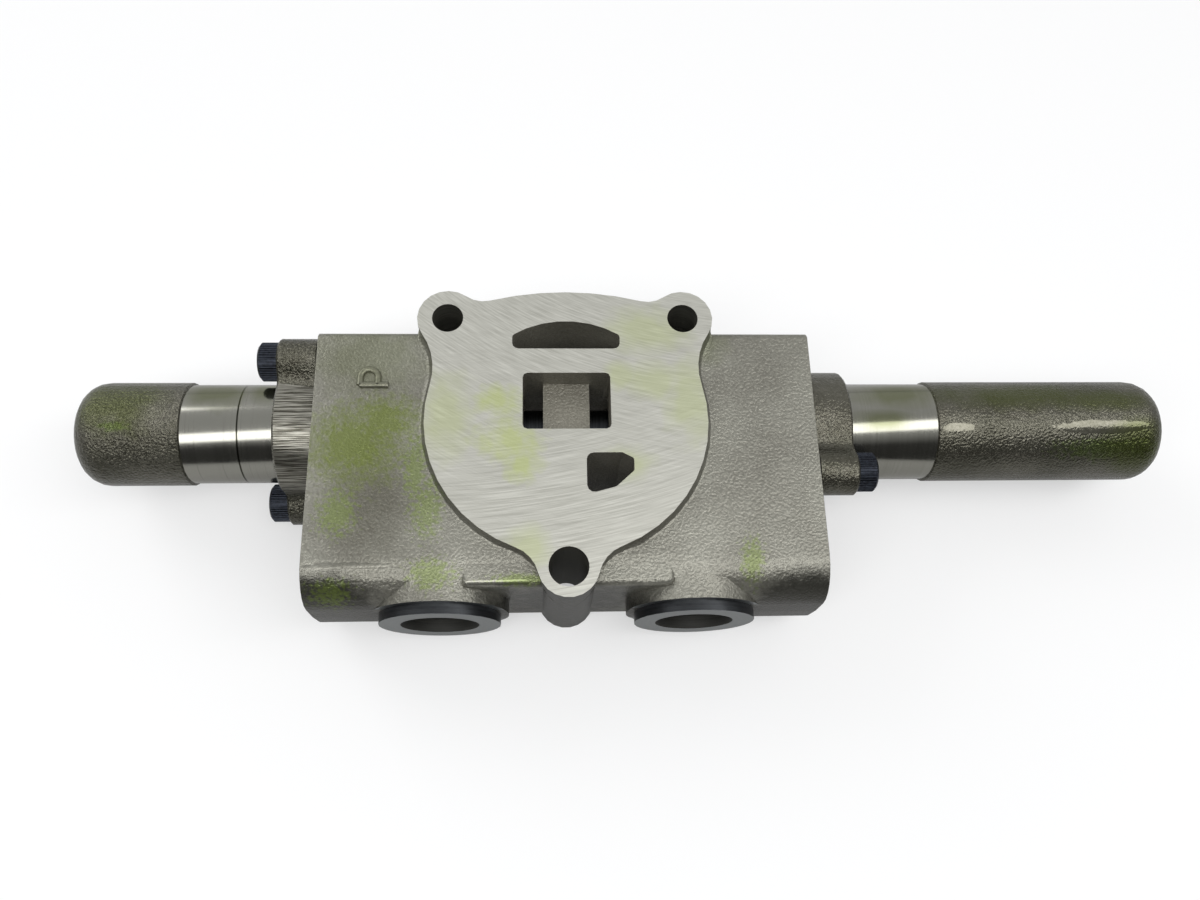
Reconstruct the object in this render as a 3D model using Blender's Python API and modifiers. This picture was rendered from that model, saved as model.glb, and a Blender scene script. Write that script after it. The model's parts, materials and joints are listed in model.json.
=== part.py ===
# Directional valve section with two pilot caps, lying on its lower mating face.
# Frame: X along the spool, +Y away from the work ports, +Z up. The origin is where the
# spool's mid-plane and the tie-rod centreline meet the lower mating face.

import math

import bmesh
import bpy
from mathutils import Matrix, Vector

MM = 0.001

# Clearances
REST_GAP = 0.3 * MM          # between faces that touch on the real part
SPOOL_GAP = 0.25 * MM        # radial, spool in its bore

# Body casting
FACE_HEIGHT = 50.0 * MM      # between the two mating faces
WING_DROP = 3.0 * MM         # wings lie this far below each mating face
BODY_HALF_LENGTH = 79.7 * MM
WING_BACK_Y = 27.0 * MM
WING_FRONT_Y = -61.5 * MM
WING_FRONT_DRAFT = 0.9 * MM
WING_FRONT_RADIUS = 13.0 * MM
WING_BACK_RADIUS = 2.5 * MM
WING_END_BEVEL = 0.8 * MM
BACK_WALL_Y = 38.4 * MM
BACK_WALL_HALF_LENGTH = 36.0 * MM
BACK_WALL_BEVEL = 3.0 * MM
PAD_FILLET = 2.4 * MM        # foot of the raised pads, where they meet the wings
FOOT_SINK = 0.12 * MM        # the fillet's foot runs this far under the wing's surface

# Raised mating pads
PAD_CENTRE_Y = -4.5 * MM
PAD_RADIUS = 44.5 * MM
PAD_CREST_Y = 39.8 * MM
PAD_CREST_RADIUS = 97.0 * MM
TOP_LOBE_RADIUS = 9.8 * MM
FRONT_LOBE_RADIUS = 9.3 * MM
CREST_FILLET = 9.0 * MM
WAIST_FILLET = 22.0 * MM
FRONT_FILLET = 11.0 * MM

# Tie rods
TIE_ROD_SPACING = 76.2 * MM
TIE_ROD_REAR_Y = 30.3 * MM
TIE_ROD_FRONT_Y = -52.0 * MM
TIE_ROD_REAR_HOLE = 5.0 * MM
TIE_ROD_FRONT_HOLE = 6.1 * MM

# Passages through the mating faces
KIDNEY_HALF_WIDTH = 17.3 * MM
KIDNEY_LOW_Y = 19.4 * MM
KIDNEY_SHOULDER_Y = 24.2 * MM
KIDNEY_SHOULDER_RADIUS = 1.2 * MM
KIDNEY_CREST_Y = 29.2 * MM
KIDNEY_CORNER = 2.0 * MM
CORE_HALF_WIDTH = 13.9 * MM
CORE_LOW_Y = -8.2 * MM
CORE_HIGH_Y = 10.9 * MM
CORE_CORNER = 1.5 * MM
BRIDGE_HALF_WIDTH = 7.5 * MM
BRIDGE_WALL = 3.9 * MM       # round the spool bore, inside the core
PRESSURE_LEFT_X = 5.9 * MM
PRESSURE_RIGHT_X = 20.6 * MM
PRESSURE_SHOULDER_X = 17.0 * MM
PRESSURE_TIP_X = 14.9 * MM
PRESSURE_HIGH_Y = -16.1 * MM
PRESSURE_SHOULDER_Y = -18.0 * MM
PRESSURE_SIDE_Y = -22.0 * MM
PRESSURE_TIP_Y = -27.2 * MM
PRESSURE_LOW_Y = -29.6 * MM
PRESSURE_CORNER = 2.2 * MM
PRESSURE_STEP_CORNER = 0.8 * MM

# Face seals in the lower mating face
SEAL_LAND = 0.9 * MM         # metal between an opening and its groove
SEAL_GROOVE_WIDTH = 2.3 * MM
SEAL_GROOVE_DEPTH = 2.0 * MM
SEAL_RADIUS = 0.8 * MM

# Work ports
PORT_X = 40.0 * MM
PORT_FACE_Y = -64.4 * MM
PORT_RING_RADIUS = 19.0 * MM
PORT_RING_HEIGHT = 3.3 * MM
PORT_BOSS_RADIUS = 21.5 * MM
PORT_THREAD_RADIUS = 11.1 * MM
PORT_THREAD_DEPTH = 17.0 * MM
PORT_CHAMFER = 1.2 * MM
PORT_CHAMFER_DEPTH = 2.4 * MM
PORT_DRILL_RADIUS = 8.5 * MM
PORT_DRILL_CONE = 2.0 * MM

# Spool and its bore
SPOOL_RADIUS = 11.1 * MM
SPOOL_NECK_RADIUS = 7.6 * MM
SPOOL_CHAMFER = 0.6 * MM
CHAMBER_RADIUS = 15.2 * MM
POWER_CHAMBER_OVERLAP = 1.4 * MM     # inwards past the pressure passage's outer side
POWER_CHAMBER_WIDTH = 7.4 * MM
TANK_CHAMBER_WALL = 4.0 * MM         # between the work port's drilling and the tank chamber
TANK_CHAMBER_WIDTH = 8.0 * MM
LAND_OVERLAP = 2.0 * MM      # of a land past the edge of the chamber that it closes
LAND_OPENING = 1.0 * MM      # of a neck past the edge of the chamber that it serves
SEAL_SEAT_DEPTH = 9.7 * MM   # of a spool seal's groove inside the body's end
RING_SEAL_GROOVE = 2.5 * MM  # width of the grooves that hold the round seals
RING_SEAL_RADIUS = 0.9 * MM
STROKE = 8.0 * MM

# Load check in the lower face
CHECK_X = -13.0 * MM
CHECK_Y = -24.5 * MM
CHECK_BORE_RADIUS = 6.6 * MM
CHECK_SEAT_Z = 22.0 * MM
CHECK_THROAT_RADIUS = 4.2 * MM
CHECK_THROAT_TOP_Z = 33.0 * MM
CHECK_LIFT = 3.5 * MM
CHECK_SKIRT_LENGTH = 9.0 * MM
CHECK_WALL = 1.4 * MM
CHECK_CROWN = 2.0 * MM
CHECK_NOSE_CLEARANCE = 1.0 * MM
CHECK_SPRING_WIRE = 0.4 * MM
CHECK_SPRING_TURNS = 3
CROSS_PASSAGE_HALF = 3.5 * MM
PASSAGE_OVERLAP = 1.0 * MM   # of a gallery into the chamber that it meets
OUTLET_LOW_Z = 13.0 * MM
OUTLET_HIGH_Z = 20.0 * MM

# Pilot caps, both the same casting cut to two lengths
FLANGE_THICKNESS = 12.6 * MM
FLANGE_RADIUS = 20.2 * MM
FLANGE_CHAMFER = 0.7 * MM
EAR_RADIUS = 7.5 * MM
EAR_FILLET = 4.0 * MM
SCREW_BARREL_STEP = 2.5 * MM  # from the barrel out to the screws
SCREW_OFFSET_Z = 14.5 * MM
BARREL_RADIUS = 17.0 * MM
NECK_CUT = 0.7 * MM          # the neck is turned this much below the cast barrel
NECK_END_X = 122.0 * MM
SHORT_CAP_END_X = 157.4 * MM
LONG_CAP_END_X = 201.7 * MM
CAP_CORNER_GAP = 0.1 * MM    # between the end's rounding and the pilot spotface
CAP_END_CROWN = 0.5 * MM
CAP_END_LAND = 0.6 * MM      # flat ring left round the pilot spotface
CAP_END_WALL = 16.0 * MM
SEAT_CHAMBER_RADIUS = 13.0 * MM
SPRING_CHAMBER_RADIUS = 11.2 * MM
PILOT_SPOTFACE_RADIUS = 8.4 * MM
PILOT_SPOTFACE_DEPTH = 0.5 * MM
PILOT_THREAD_RADIUS = 5.6 * MM
PILOT_THREAD_DEPTH = 11.0 * MM
PILOT_CHAMFER = 0.8 * MM
PILOT_DRILL_RADIUS = 2.5 * MM
PILOT_DRILL_CONE = 1.0 * MM
CAP_SEAL_RADIUS = 15.3 * MM

# Cap screws, 5/16 in socket head
SCREW_SHANK_RADIUS = 3.9 * MM
SCREW_HEAD_RADIUS = 6.1 * MM
SCREW_HEAD_HEIGHT = 7.9 * MM
SCREW_HEAD_CHAMFER = 0.6 * MM
SCREW_SINK = 1.9 * MM
SCREW_ENGAGEMENT = 16.0 * MM
SOCKET_ACROSS_FLATS = 6.35 * MM
SOCKET_DEPTH = 4.0 * MM

# Centring springs and their seats
SEAT_FLANGE_RADIUS = 12.5 * MM
SEAT_FLANGE_THICKNESS = 3.0 * MM
SEAT_HUB_RADIUS = 6.9 * MM
SEAT_HUB_LENGTH = 9.0 * MM
SEAT_HOLE_RADIUS = 3.0 * MM
SPRING_WIRE_RADIUS = 1.15 * MM
SPRING_MEAN_RADIUS = 9.3 * MM
SHORT_SPRING_TURNS = 5
LONG_SPRING_TURNS = 7
COIL_GAP = 0.2 * MM          # under the closed turn at each end of a coil

# Facets
ROUND_STEPS = 32
BORE_STEPS = 20
SMALL_STEPS = 16
CHORD_TOLERANCE = 0.12 * MM  # between an arc and its chords
SPRING_STEPS = 8
FLARE_STEPS = 3
EDGE_SEGMENTS = 3
END_BEVEL_SEGMENTS = 2
END_BEVEL_ANGLE = 60         # degrees, edges sharper than this are broken
SMOOTH_ANGLE = 32            # degrees, shallower edges look round
STRAIGHT_HALF_ANGLE = 88     # degrees, a corner flatter than this takes no fillet
MITRE_LIMIT = 0.5            # least share of a corner's normal when an outline is moved

# Values that follow
AXIS_Z = FACE_HEIGHT / 2
BORE_RADIUS = SPOOL_RADIUS + SPOOL_GAP
FLANGE_FACE_X = BODY_HALF_LENGTH + REST_GAP
FLANGE_OUTER_X = FLANGE_FACE_X + FLANGE_THICKNESS
SEAL_SEAT_X = BODY_HALF_LENGTH - SEAL_SEAT_DEPTH
SCREW_OFFSET_Y = BARREL_RADIUS + SCREW_BARREL_STEP
NECK_RADIUS = BARREL_RADIUS - NECK_CUT
CAP_CORNER_RADIUS = BARREL_RADIUS - PILOT_SPOTFACE_RADIUS - CAP_CORNER_GAP
SEAT_FACE_X = BODY_HALF_LENGTH + REST_GAP
PAST = 6.0 * MM              # how far a cutter runs beyond the face that it opens

UP = Matrix.Identity(4)
ALONG_X = Matrix.Rotation(math.radians(90), 4, "Y")
ALONG_MINUS_Y = Matrix.Rotation(math.radians(90), 4, "X")
# An outline's x and y become Y and Z, and its thickness runs along X.
STAND = Matrix(((0, 0, 1, 0), (1, 0, 0, 0), (0, 1, 0, 0), (0, 0, 0, 1)))


def clear_scene():
    for obj in list(bpy.data.objects):
        bpy.data.objects.remove(obj, do_unlink=True)


def new_collection(name):
    group = bpy.data.collections.new(name)
    bpy.context.scene.collection.children.link(group)
    return group


def make_material(name, colour, metallic, roughness):
    finish = bpy.data.materials.new(name)
    finish.use_nodes = True
    shader = finish.node_tree.nodes["Principled BSDF"]
    shader.inputs["Base Color"].default_value = (*colour, 1.0)
    shader.inputs["Metallic"].default_value = metallic
    shader.inputs["Roughness"].default_value = roughness
    return finish


def move(x=0.0, y=0.0, z=0.0):
    return Matrix.Translation((x, y, z))


def add_object(name, data, group, matrix=UP, parent=None, finish=None):
    obj = bpy.data.objects.new(name, data)
    group.objects.link(obj)
    obj.parent = parent
    obj.matrix_basis = matrix
    if finish:
        obj.data.materials.append(finish)
    if group == cutters:
        obj.hide_render = True
        obj.display_type = "WIRE"
    return obj


def shade(mesh):
    mesh.shade_smooth()
    mesh.set_sharp_from_angle(angle=math.radians(SMOOTH_ANGLE))


# Arc points, from one angle to another, both ends included.
def arc(cx, cy, radius, start, end, tolerance=CHORD_TOLERANCE):
    step = 2 * math.acos(1 - tolerance / radius)
    count = max(2, math.ceil(abs(end - start) / step))
    angles = [start + (end - start) * i / count for i in range(count + 1)]
    return [(cx + radius * math.cos(a), cy + radius * math.sin(a)) for a in angles]


# A polygon whose corners are (x, y, radius), running anticlockwise.
def rounded_polygon(corners):
    points = []
    for i, (x, y, radius) in enumerate(corners):
        here = Vector((x, y))
        back = (Vector(corners[i - 1][:2]) - here).normalized()
        ahead = (Vector(corners[(i + 1) % len(corners)][:2]) - here).normalized()
        half = back.angle(ahead) / 2
        if radius == 0 or half > math.radians(STRAIGHT_HALF_ANGLE):
            points.append((x, y))
            continue
        middle = here + (back + ahead).normalized() * radius / math.sin(half)
        first = here + back * radius / math.tan(half) - middle
        last = here + ahead * radius / math.tan(half) - middle
        start = math.atan2(first.y, first.x)
        turn = (math.atan2(last.y, last.x) - start) % math.tau
        points += arc(middle.x, middle.y, radius, start, start + turn)
    return points


# A chain of circles (x, y, radius) met by concave fillets, running anticlockwise. Each fillet
# follows the circle of the same place in the list.
def lobed_outline(circles, fillets):
    count = len(circles)
    centres = []
    for i, fillet in enumerate(fillets):
        x0, y0, r0 = circles[i]
        x1, y1, r1 = circles[(i + 1) % count]
        away = Vector((x1 - x0, y1 - y0))
        gap = away.length
        along = ((r0 + fillet) ** 2 - (r1 + fillet) ** 2 + gap ** 2) / (2 * gap)
        out = math.sqrt((r0 + fillet) ** 2 - along ** 2)
        away.normalize()
        centres.append(Vector((x0, y0)) + away * along + Vector((away.y, -away.x)) * out)
    points = []
    for i, (x, y, radius) in enumerate(circles):
        here = Vector((x, y))
        start = centres[i - 1] - here
        end = centres[i] - here
        first = math.atan2(start.y, start.x)
        turn = (math.atan2(end.y, end.x) - first) % math.tau
        points += arc(x, y, radius, first, first + turn)
        turned_back = here - centres[i]
        following = Vector(circles[(i + 1) % count][:2]) - centres[i]
        first = math.atan2(turned_back.y, turned_back.x)
        turn = (first - math.atan2(following.y, following.x)) % math.tau
        points += arc(*centres[i], fillets[i], first, first - turn)[1:-1]
    return points


# The outline moved outwards by a distance, along the mean of its neighbours' normals.
def grown(points, distance):
    result = []
    for i, (x, y) in enumerate(points):
        before = Vector(points[i - 1])
        after = Vector(points[(i + 1) % len(points)])
        here = Vector((x, y))
        into = (here - before).normalized()
        out_of = (after - here).normalized()
        normal = Vector((into.y + out_of.y, -into.x - out_of.x)).normalized()
        share = max(MITRE_LIMIT, normal.dot((into.y, -into.x)))
        result.append(tuple(here + normal * distance / share))
    return result


# A flat outline with its holes, extruded evenly about z = 0 of its matrix.
def outline_solid(name, loops, thickness, group, matrix=UP, parent=None, finish=None):
    curve = bpy.data.curves.new(name, "CURVE")
    curve.dimensions = "2D"
    curve.fill_mode = "BOTH"
    curve.extrude = thickness / 2
    for points in loops:
        spline = curve.splines.new("POLY")
        spline.points.add(len(points) - 1)
        for point, (x, y) in zip(spline.points, points):
            point.co = (x, y, 0, 1)
        spline.use_cyclic_u = True
    return curve_to_mesh(name, curve, group, matrix, parent, finish)


def curve_to_mesh(name, curve, group, matrix, parent, finish):
    guide = bpy.data.objects.new(name + "_guide", curve)
    bpy.context.scene.collection.objects.link(guide)
    bpy.context.view_layer.update()
    evaluated = guide.evaluated_get(bpy.context.evaluated_depsgraph_get())
    mesh = bpy.data.meshes.new_from_object(evaluated)
    bpy.data.objects.remove(guide, do_unlink=True)
    form = bmesh.new()
    form.from_mesh(mesh)
    bmesh.ops.remove_doubles(form, verts=form.verts, dist=0.001 * MM)
    bmesh.ops.recalc_face_normals(form, faces=form.faces)
    form.to_mesh(mesh)
    form.free()
    shade(mesh)
    return add_object(name, mesh, group, matrix, parent, finish)


# A tube along closed or open points.
def tube(name, points, radius, closed, group, matrix=UP, parent=None, finish=None):
    curve = bpy.data.curves.new(name, "CURVE")
    curve.dimensions = "3D"
    curve.bevel_depth = radius
    curve.bevel_resolution = 2 if not closed else 1
    curve.use_fill_caps = not closed
    spline = curve.splines.new("POLY")
    spline.points.add(len(points) - 1)
    for point, place in zip(spline.points, points):
        point.co = (*place, 1)
    spline.use_cyclic_u = closed
    return curve_to_mesh(name, curve, group, matrix, parent, finish)


# A turned solid: its profile is (height, radius) from the bottom up, spun about local Z.
# A profile that stays off the axis is closed on itself and makes a ring.
def turned(name, profile, group, matrix=ALONG_X, parent=None, finish=None, steps=ROUND_STEPS):
    mesh = bpy.data.meshes.new(name)
    points = [(radius, 0.0, height) for height, radius in reversed(profile)]
    edges = [(i, i + 1) for i in range(len(points) - 1)]
    if min(radius for _, radius in profile) > 0:
        edges.append((len(points) - 1, 0))
    mesh.from_pydata(points, edges, [])
    obj = add_object(name, mesh, group, matrix, parent, finish)
    spin = obj.modifiers.new("Turn", "SCREW")
    spin.angle = math.tau
    spin.steps = steps
    spin.render_steps = steps
    spin.use_merge_vertices = True
    spin.merge_threshold = 0.001 * MM
    return obj


# A solid through rings of equal length, each anticlockwise seen from the last ring's side.
def lofted(name, rings, group, matrix=UP, parent=None, finish=None):
    form = bmesh.new()
    loops = [[form.verts.new(point) for point in ring] for ring in rings]
    count = len(loops[0])
    for below, above in zip(loops, loops[1:]):
        for i in range(count):
            j = (i + 1) % count
            form.faces.new((below[i], below[j], above[j], above[i]))
    form.faces.new(reversed(loops[0]))
    form.faces.new(loops[-1])
    mesh = bpy.data.meshes.new(name)
    form.to_mesh(mesh)
    form.free()
    shade(mesh)
    return add_object(name, mesh, group, matrix, parent, finish)


def plain_cylinder(name, radius, low, high, group, matrix=ALONG_X, parent=None, steps=ROUND_STEPS):
    form = bmesh.new()
    middle = move(z=(low + high) / 2)
    bmesh.ops.create_cone(form, cap_ends=True, segments=steps, radius1=radius, radius2=radius,
                          depth=high - low, matrix=middle)
    mesh = bpy.data.meshes.new(name)
    form.to_mesh(mesh)
    form.free()
    return add_object(name, mesh, group, matrix, parent)


def block(name, low, high, group, bevel=0.0):
    size = Vector(high) - Vector(low)
    form = bmesh.new()
    centre = Matrix.Translation((Vector(high) + Vector(low)) / 2)
    bmesh.ops.create_cube(form, size=1.0, matrix=centre @ Matrix.Diagonal((*size, 1.0)))
    mesh = bpy.data.meshes.new(name)
    form.to_mesh(mesh)
    form.free()
    obj = add_object(name, mesh, group)
    if bevel:
        round_edges(obj, bevel, EDGE_SEGMENTS)
    return obj


def round_edges(obj, width, segments, angle=40):
    bevel = obj.modifiers.new("Round edges", "BEVEL")
    bevel.width = width
    bevel.segments = segments
    bevel.limit_method = "ANGLE"
    bevel.angle_limit = math.radians(angle)


def combine(target, tool, operation):
    boolean = target.modifiers.new(operation.title() + " " + tool.name, "BOOLEAN")
    boolean.operation = operation
    boolean.solver = "EXACT"
    boolean.object = tool


def cut(target, *tools):
    for tool in tools:
        combine(target, tool, "DIFFERENCE")


def join(target, *tools):
    for tool in tools:
        combine(target, tool, "UNION")


# Outlines on the mating faces

def pad_outline():
    rear = TIE_ROD_SPACING / 2
    pad = (0.0, PAD_CENTRE_Y, PAD_RADIUS)
    right = (rear, TIE_ROD_REAR_Y, TOP_LOBE_RADIUS)
    left = (-rear, TIE_ROD_REAR_Y, TOP_LOBE_RADIUS)
    crest = (0.0, PAD_CREST_Y - PAD_CREST_RADIUS, PAD_CREST_RADIUS)
    front = (0.0, TIE_ROD_FRONT_Y, FRONT_LOBE_RADIUS)
    circles = [pad, right, crest, left, pad, front]
    fillets = [WAIST_FILLET, CREST_FILLET, CREST_FILLET, WAIST_FILLET, FRONT_FILLET, FRONT_FILLET]
    return lobed_outline(circles, fillets)


def kidney_outline():
    rise = KIDNEY_CREST_Y - KIDNEY_SHOULDER_Y
    radius = (KIDNEY_HALF_WIDTH ** 2 + rise ** 2) / (2 * rise)
    reach = math.asin(KIDNEY_HALF_WIDTH / radius)
    top = math.radians(90)
    crest = arc(0.0, KIDNEY_CREST_Y - radius, radius, top - reach, top + reach)[1:-1]
    return rounded_polygon([
        (-KIDNEY_HALF_WIDTH, KIDNEY_LOW_Y, KIDNEY_CORNER),
        (KIDNEY_HALF_WIDTH, KIDNEY_LOW_Y, KIDNEY_CORNER),
        (KIDNEY_HALF_WIDTH, KIDNEY_SHOULDER_Y, KIDNEY_SHOULDER_RADIUS),
        *[(x, y, 0.0) for x, y in crest],
        (-KIDNEY_HALF_WIDTH, KIDNEY_SHOULDER_Y, KIDNEY_SHOULDER_RADIUS),
    ])


def core_outline():
    return rounded_polygon([
        (-CORE_HALF_WIDTH, CORE_LOW_Y, CORE_CORNER),
        (CORE_HALF_WIDTH, CORE_LOW_Y, CORE_CORNER),
        (CORE_HALF_WIDTH, CORE_HIGH_Y, CORE_CORNER),
        (-CORE_HALF_WIDTH, CORE_HIGH_Y, CORE_CORNER),
    ])


def pressure_outline():
    return rounded_polygon([
        (PRESSURE_LEFT_X, PRESSURE_LOW_Y, PRESSURE_CORNER),
        (PRESSURE_TIP_X, PRESSURE_TIP_Y, PRESSURE_CORNER),
        (PRESSURE_RIGHT_X, PRESSURE_SIDE_Y, PRESSURE_STEP_CORNER),
        (PRESSURE_RIGHT_X, PRESSURE_SHOULDER_Y, PRESSURE_STEP_CORNER),
        (PRESSURE_SHOULDER_X, PRESSURE_HIGH_Y, PRESSURE_STEP_CORNER),
        (PRESSURE_LEFT_X, PRESSURE_HIGH_Y, PRESSURE_CORNER),
    ])


def check_outline():
    return arc(CHECK_X, CHECK_Y, CHECK_BORE_RADIUS, 0.0, math.tau)[:-1]


def through(name, points, low=-PAST, high=FACE_HEIGHT + PAST):
    return outline_solid(name, [points], high - low, cutters, move(z=(low + high) / 2))


# Body casting

def wing_block():
    low = WING_DROP
    high = FACE_HEIGHT - WING_DROP
    draft = WING_FRONT_Y + WING_FRONT_DRAFT
    corners = [
        (WING_BACK_Y, low, WING_BACK_RADIUS),
        (WING_BACK_Y, high, WING_BACK_RADIUS),
        (draft, high, WING_FRONT_RADIUS),
        (WING_FRONT_Y, AXIS_Z, 0.0),
        (draft, low, WING_FRONT_RADIUS),
    ]
    points = rounded_polygon(corners)
    return outline_solid("valve_body", [points], 2 * BODY_HALF_LENGTH, assembly, STAND, finish=cast_iron)


# How much of the fillet a point of the pad outline has: all of it beside the wings, none where
# the pad stands out behind or in front of them.
def fillet_share(y):
    behind = (WING_BACK_Y - y) / PAD_FILLET
    before = (y - TIE_ROD_FRONT_Y) / FRONT_LOBE_RADIUS
    return max(0.0, min(1.0, behind, before))


# The pads and the column between them: the pad outline, flared where it meets the wings.
def pad_column():
    outline = pad_outline()
    wide = grown(outline, PAD_FILLET)
    foot = WING_DROP + FOOT_SINK
    turns = [math.radians(90) * i / FLARE_STEPS for i in range(FLARE_STEPS + 1)]
    lower = [(foot * math.sin(turn), 1 - math.cos(turn)) for turn in turns]
    levels = lower + [(FACE_HEIGHT - z, out) for z, out in reversed(lower)]
    rings = []
    for z, out in levels:
        ring = []
        for (x0, y0), (x1, y1) in zip(outline, wide):
            share = out * fillet_share(y0)
            ring.append((x0 + share * (x1 - x0), y0 + share * (y1 - y0), z))
        rings.append(ring)
    return lofted("pad_column", rings, cutters)


def port_boss(side):
    spotface = -PORT_FACE_Y - PORT_RING_HEIGHT
    profile = [
        (spotface - 2 * WING_FRONT_RADIUS, 0.0),
        (spotface - 2 * WING_FRONT_RADIUS, PORT_BOSS_RADIUS),
        (spotface, PORT_BOSS_RADIUS),
        (spotface, PORT_RING_RADIUS),
        (-PORT_FACE_Y, PORT_RING_RADIUS),
        (-PORT_FACE_Y, 0.0),
    ]
    place = move(side * PORT_X, 0.0, AXIS_Z) @ ALONG_MINUS_Y
    return turned("port_boss", profile, cutters, place)


def port_cutter(side):
    face = -PORT_FACE_Y
    profile = [
        (0.0, 0.0),
        (0.0, PORT_DRILL_RADIUS),
        (face - PORT_THREAD_DEPTH - PORT_DRILL_CONE, PORT_DRILL_RADIUS),
        (face - PORT_THREAD_DEPTH, PORT_THREAD_RADIUS),
        (face - PORT_CHAMFER_DEPTH, PORT_THREAD_RADIUS),
        (face, PORT_THREAD_RADIUS + PORT_CHAMFER),
        (face + PAST, PORT_THREAD_RADIUS + PORT_CHAMFER),
        (face + PAST, 0.0),
    ]
    place = move(side * PORT_X, 0.0, AXIS_Z) @ ALONG_MINUS_Y
    return turned("port_cutter", profile, cutters, place)


# Where the bore widens into a chamber: (inner x, outer x) on the right, mirrored on the left.
def chambers():
    core = (BRIDGE_HALF_WIDTH, CORE_HALF_WIDTH)
    power_x = PRESSURE_RIGHT_X - POWER_CHAMBER_OVERLAP
    power = (power_x, power_x + POWER_CHAMBER_WIDTH)
    work = (PORT_X - PORT_DRILL_RADIUS / 2, PORT_X + PORT_DRILL_RADIUS / 2)
    tank_x = PORT_X + PORT_DRILL_RADIUS + TANK_CHAMBER_WALL
    tank = (tank_x, tank_x + TANK_CHAMBER_WIDTH)
    return core, power, work, tank


def bore_cutter():
    right = []
    for inner, outer in chambers()[1:]:
        right += [(inner, BORE_RADIUS), (inner, CHAMBER_RADIUS)]
        right += [(outer, CHAMBER_RADIUS), (outer, BORE_RADIUS)]
    groove = BORE_RADIUS + 2 * RING_SEAL_RADIUS + REST_GAP
    right += [(SEAL_SEAT_X, BORE_RADIUS), (SEAL_SEAT_X, groove)]
    right += [(SEAL_SEAT_X + RING_SEAL_GROOVE, groove), (SEAL_SEAT_X + RING_SEAL_GROOVE, BORE_RADIUS)]
    end = BODY_HALF_LENGTH + PAST
    profile = [(-end, 0.0), (-end, BORE_RADIUS)]
    profile += [(-x, radius) for x, radius in reversed(right)]
    profile += right
    profile += [(end, BORE_RADIUS), (end, 0.0)]
    return turned("bore_cutter", profile, cutters, move(z=AXIS_Z) @ ALONG_X, steps=BORE_STEPS)


# The open core is one square passage with a bridge left in it round the spool bore.
def core_cutter():
    passage = through("core_cutter", core_outline())
    tube_radius = BORE_RADIUS + BRIDGE_WALL
    reach = BRIDGE_HALF_WIDTH
    ring = plain_cylinder("bridge_ring", tube_radius, -reach, reach, cutters, move(z=AXIS_Z) @ ALONG_X)
    web = block("bridge_web", (-reach, CORE_LOW_Y - PAST, -2 * PAST),
                (reach, CORE_HIGH_Y + PAST, AXIS_Z), cutters)
    join(web, ring)
    cut(passage, web)
    return passage


def check_cutter():
    profile = [
        (-PAST, 0.0),
        (-PAST, CHECK_BORE_RADIUS),
        (CHECK_SEAT_Z, CHECK_BORE_RADIUS),
        (CHECK_SEAT_Z + CHECK_BORE_RADIUS - CHECK_THROAT_RADIUS, CHECK_THROAT_RADIUS),
        (CHECK_THROAT_TOP_Z, CHECK_THROAT_RADIUS),
        (CHECK_THROAT_TOP_Z, 0.0),
    ]
    return turned("check_cutter", profile, cutters, move(CHECK_X, CHECK_Y), steps=SMALL_STEPS)


# Supply crosses over to the check above its seat, and leaves it beside its skirt.
def supply_passages():
    half = CROSS_PASSAGE_HALF
    centre_z = CHECK_THROAT_TOP_Z
    supply = block("supply_passage", (CHECK_X, CHECK_Y - half, centre_z - half),
                   (PRESSURE_LEFT_X + half, CHECK_Y + half, centre_z + half), cutters)
    power = chambers()[1]
    outlet = block("power_passage", (-power[1] + PASSAGE_OVERLAP, CHECK_Y, OUTLET_LOW_Z),
                   (CHECK_X - half, -BORE_RADIUS, OUTLET_HIGH_Z), cutters)
    return supply, outlet


def screw_places():
    return [(-SCREW_OFFSET_Y, SCREW_OFFSET_Z), (SCREW_OFFSET_Y, -SCREW_OFFSET_Z)]


def tapped_holes(end):
    holes = []
    for y, z in screw_places():
        low = BODY_HALF_LENGTH - SCREW_ENGAGEMENT - 3 * REST_GAP
        holes.append(plain_cylinder("tapped_hole", SCREW_SHANK_RADIUS + REST_GAP, low,
                                    BODY_HALF_LENGTH + PAST, cutters, move(0.0, y, z) @ ALONG_X, end,
                                    SMALL_STEPS))
    return holes


def seal_outlines():
    return {
        "tank_core_seal": kidney_outline(),
        "open_core_seal": core_outline(),
        "pressure_core_seal": pressure_outline(),
        "check_bore_seal": check_outline(),
    }


def seal_groove(name, outline):
    inner = grown(outline, SEAL_LAND)
    outer = grown(outline, SEAL_LAND + SEAL_GROOVE_WIDTH)
    thickness = SEAL_GROOVE_DEPTH + PAST
    centre = move(z=(SEAL_GROOVE_DEPTH - PAST) / 2)
    return outline_solid(name + "_groove", [outer, inner], thickness, cutters, centre)


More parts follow.
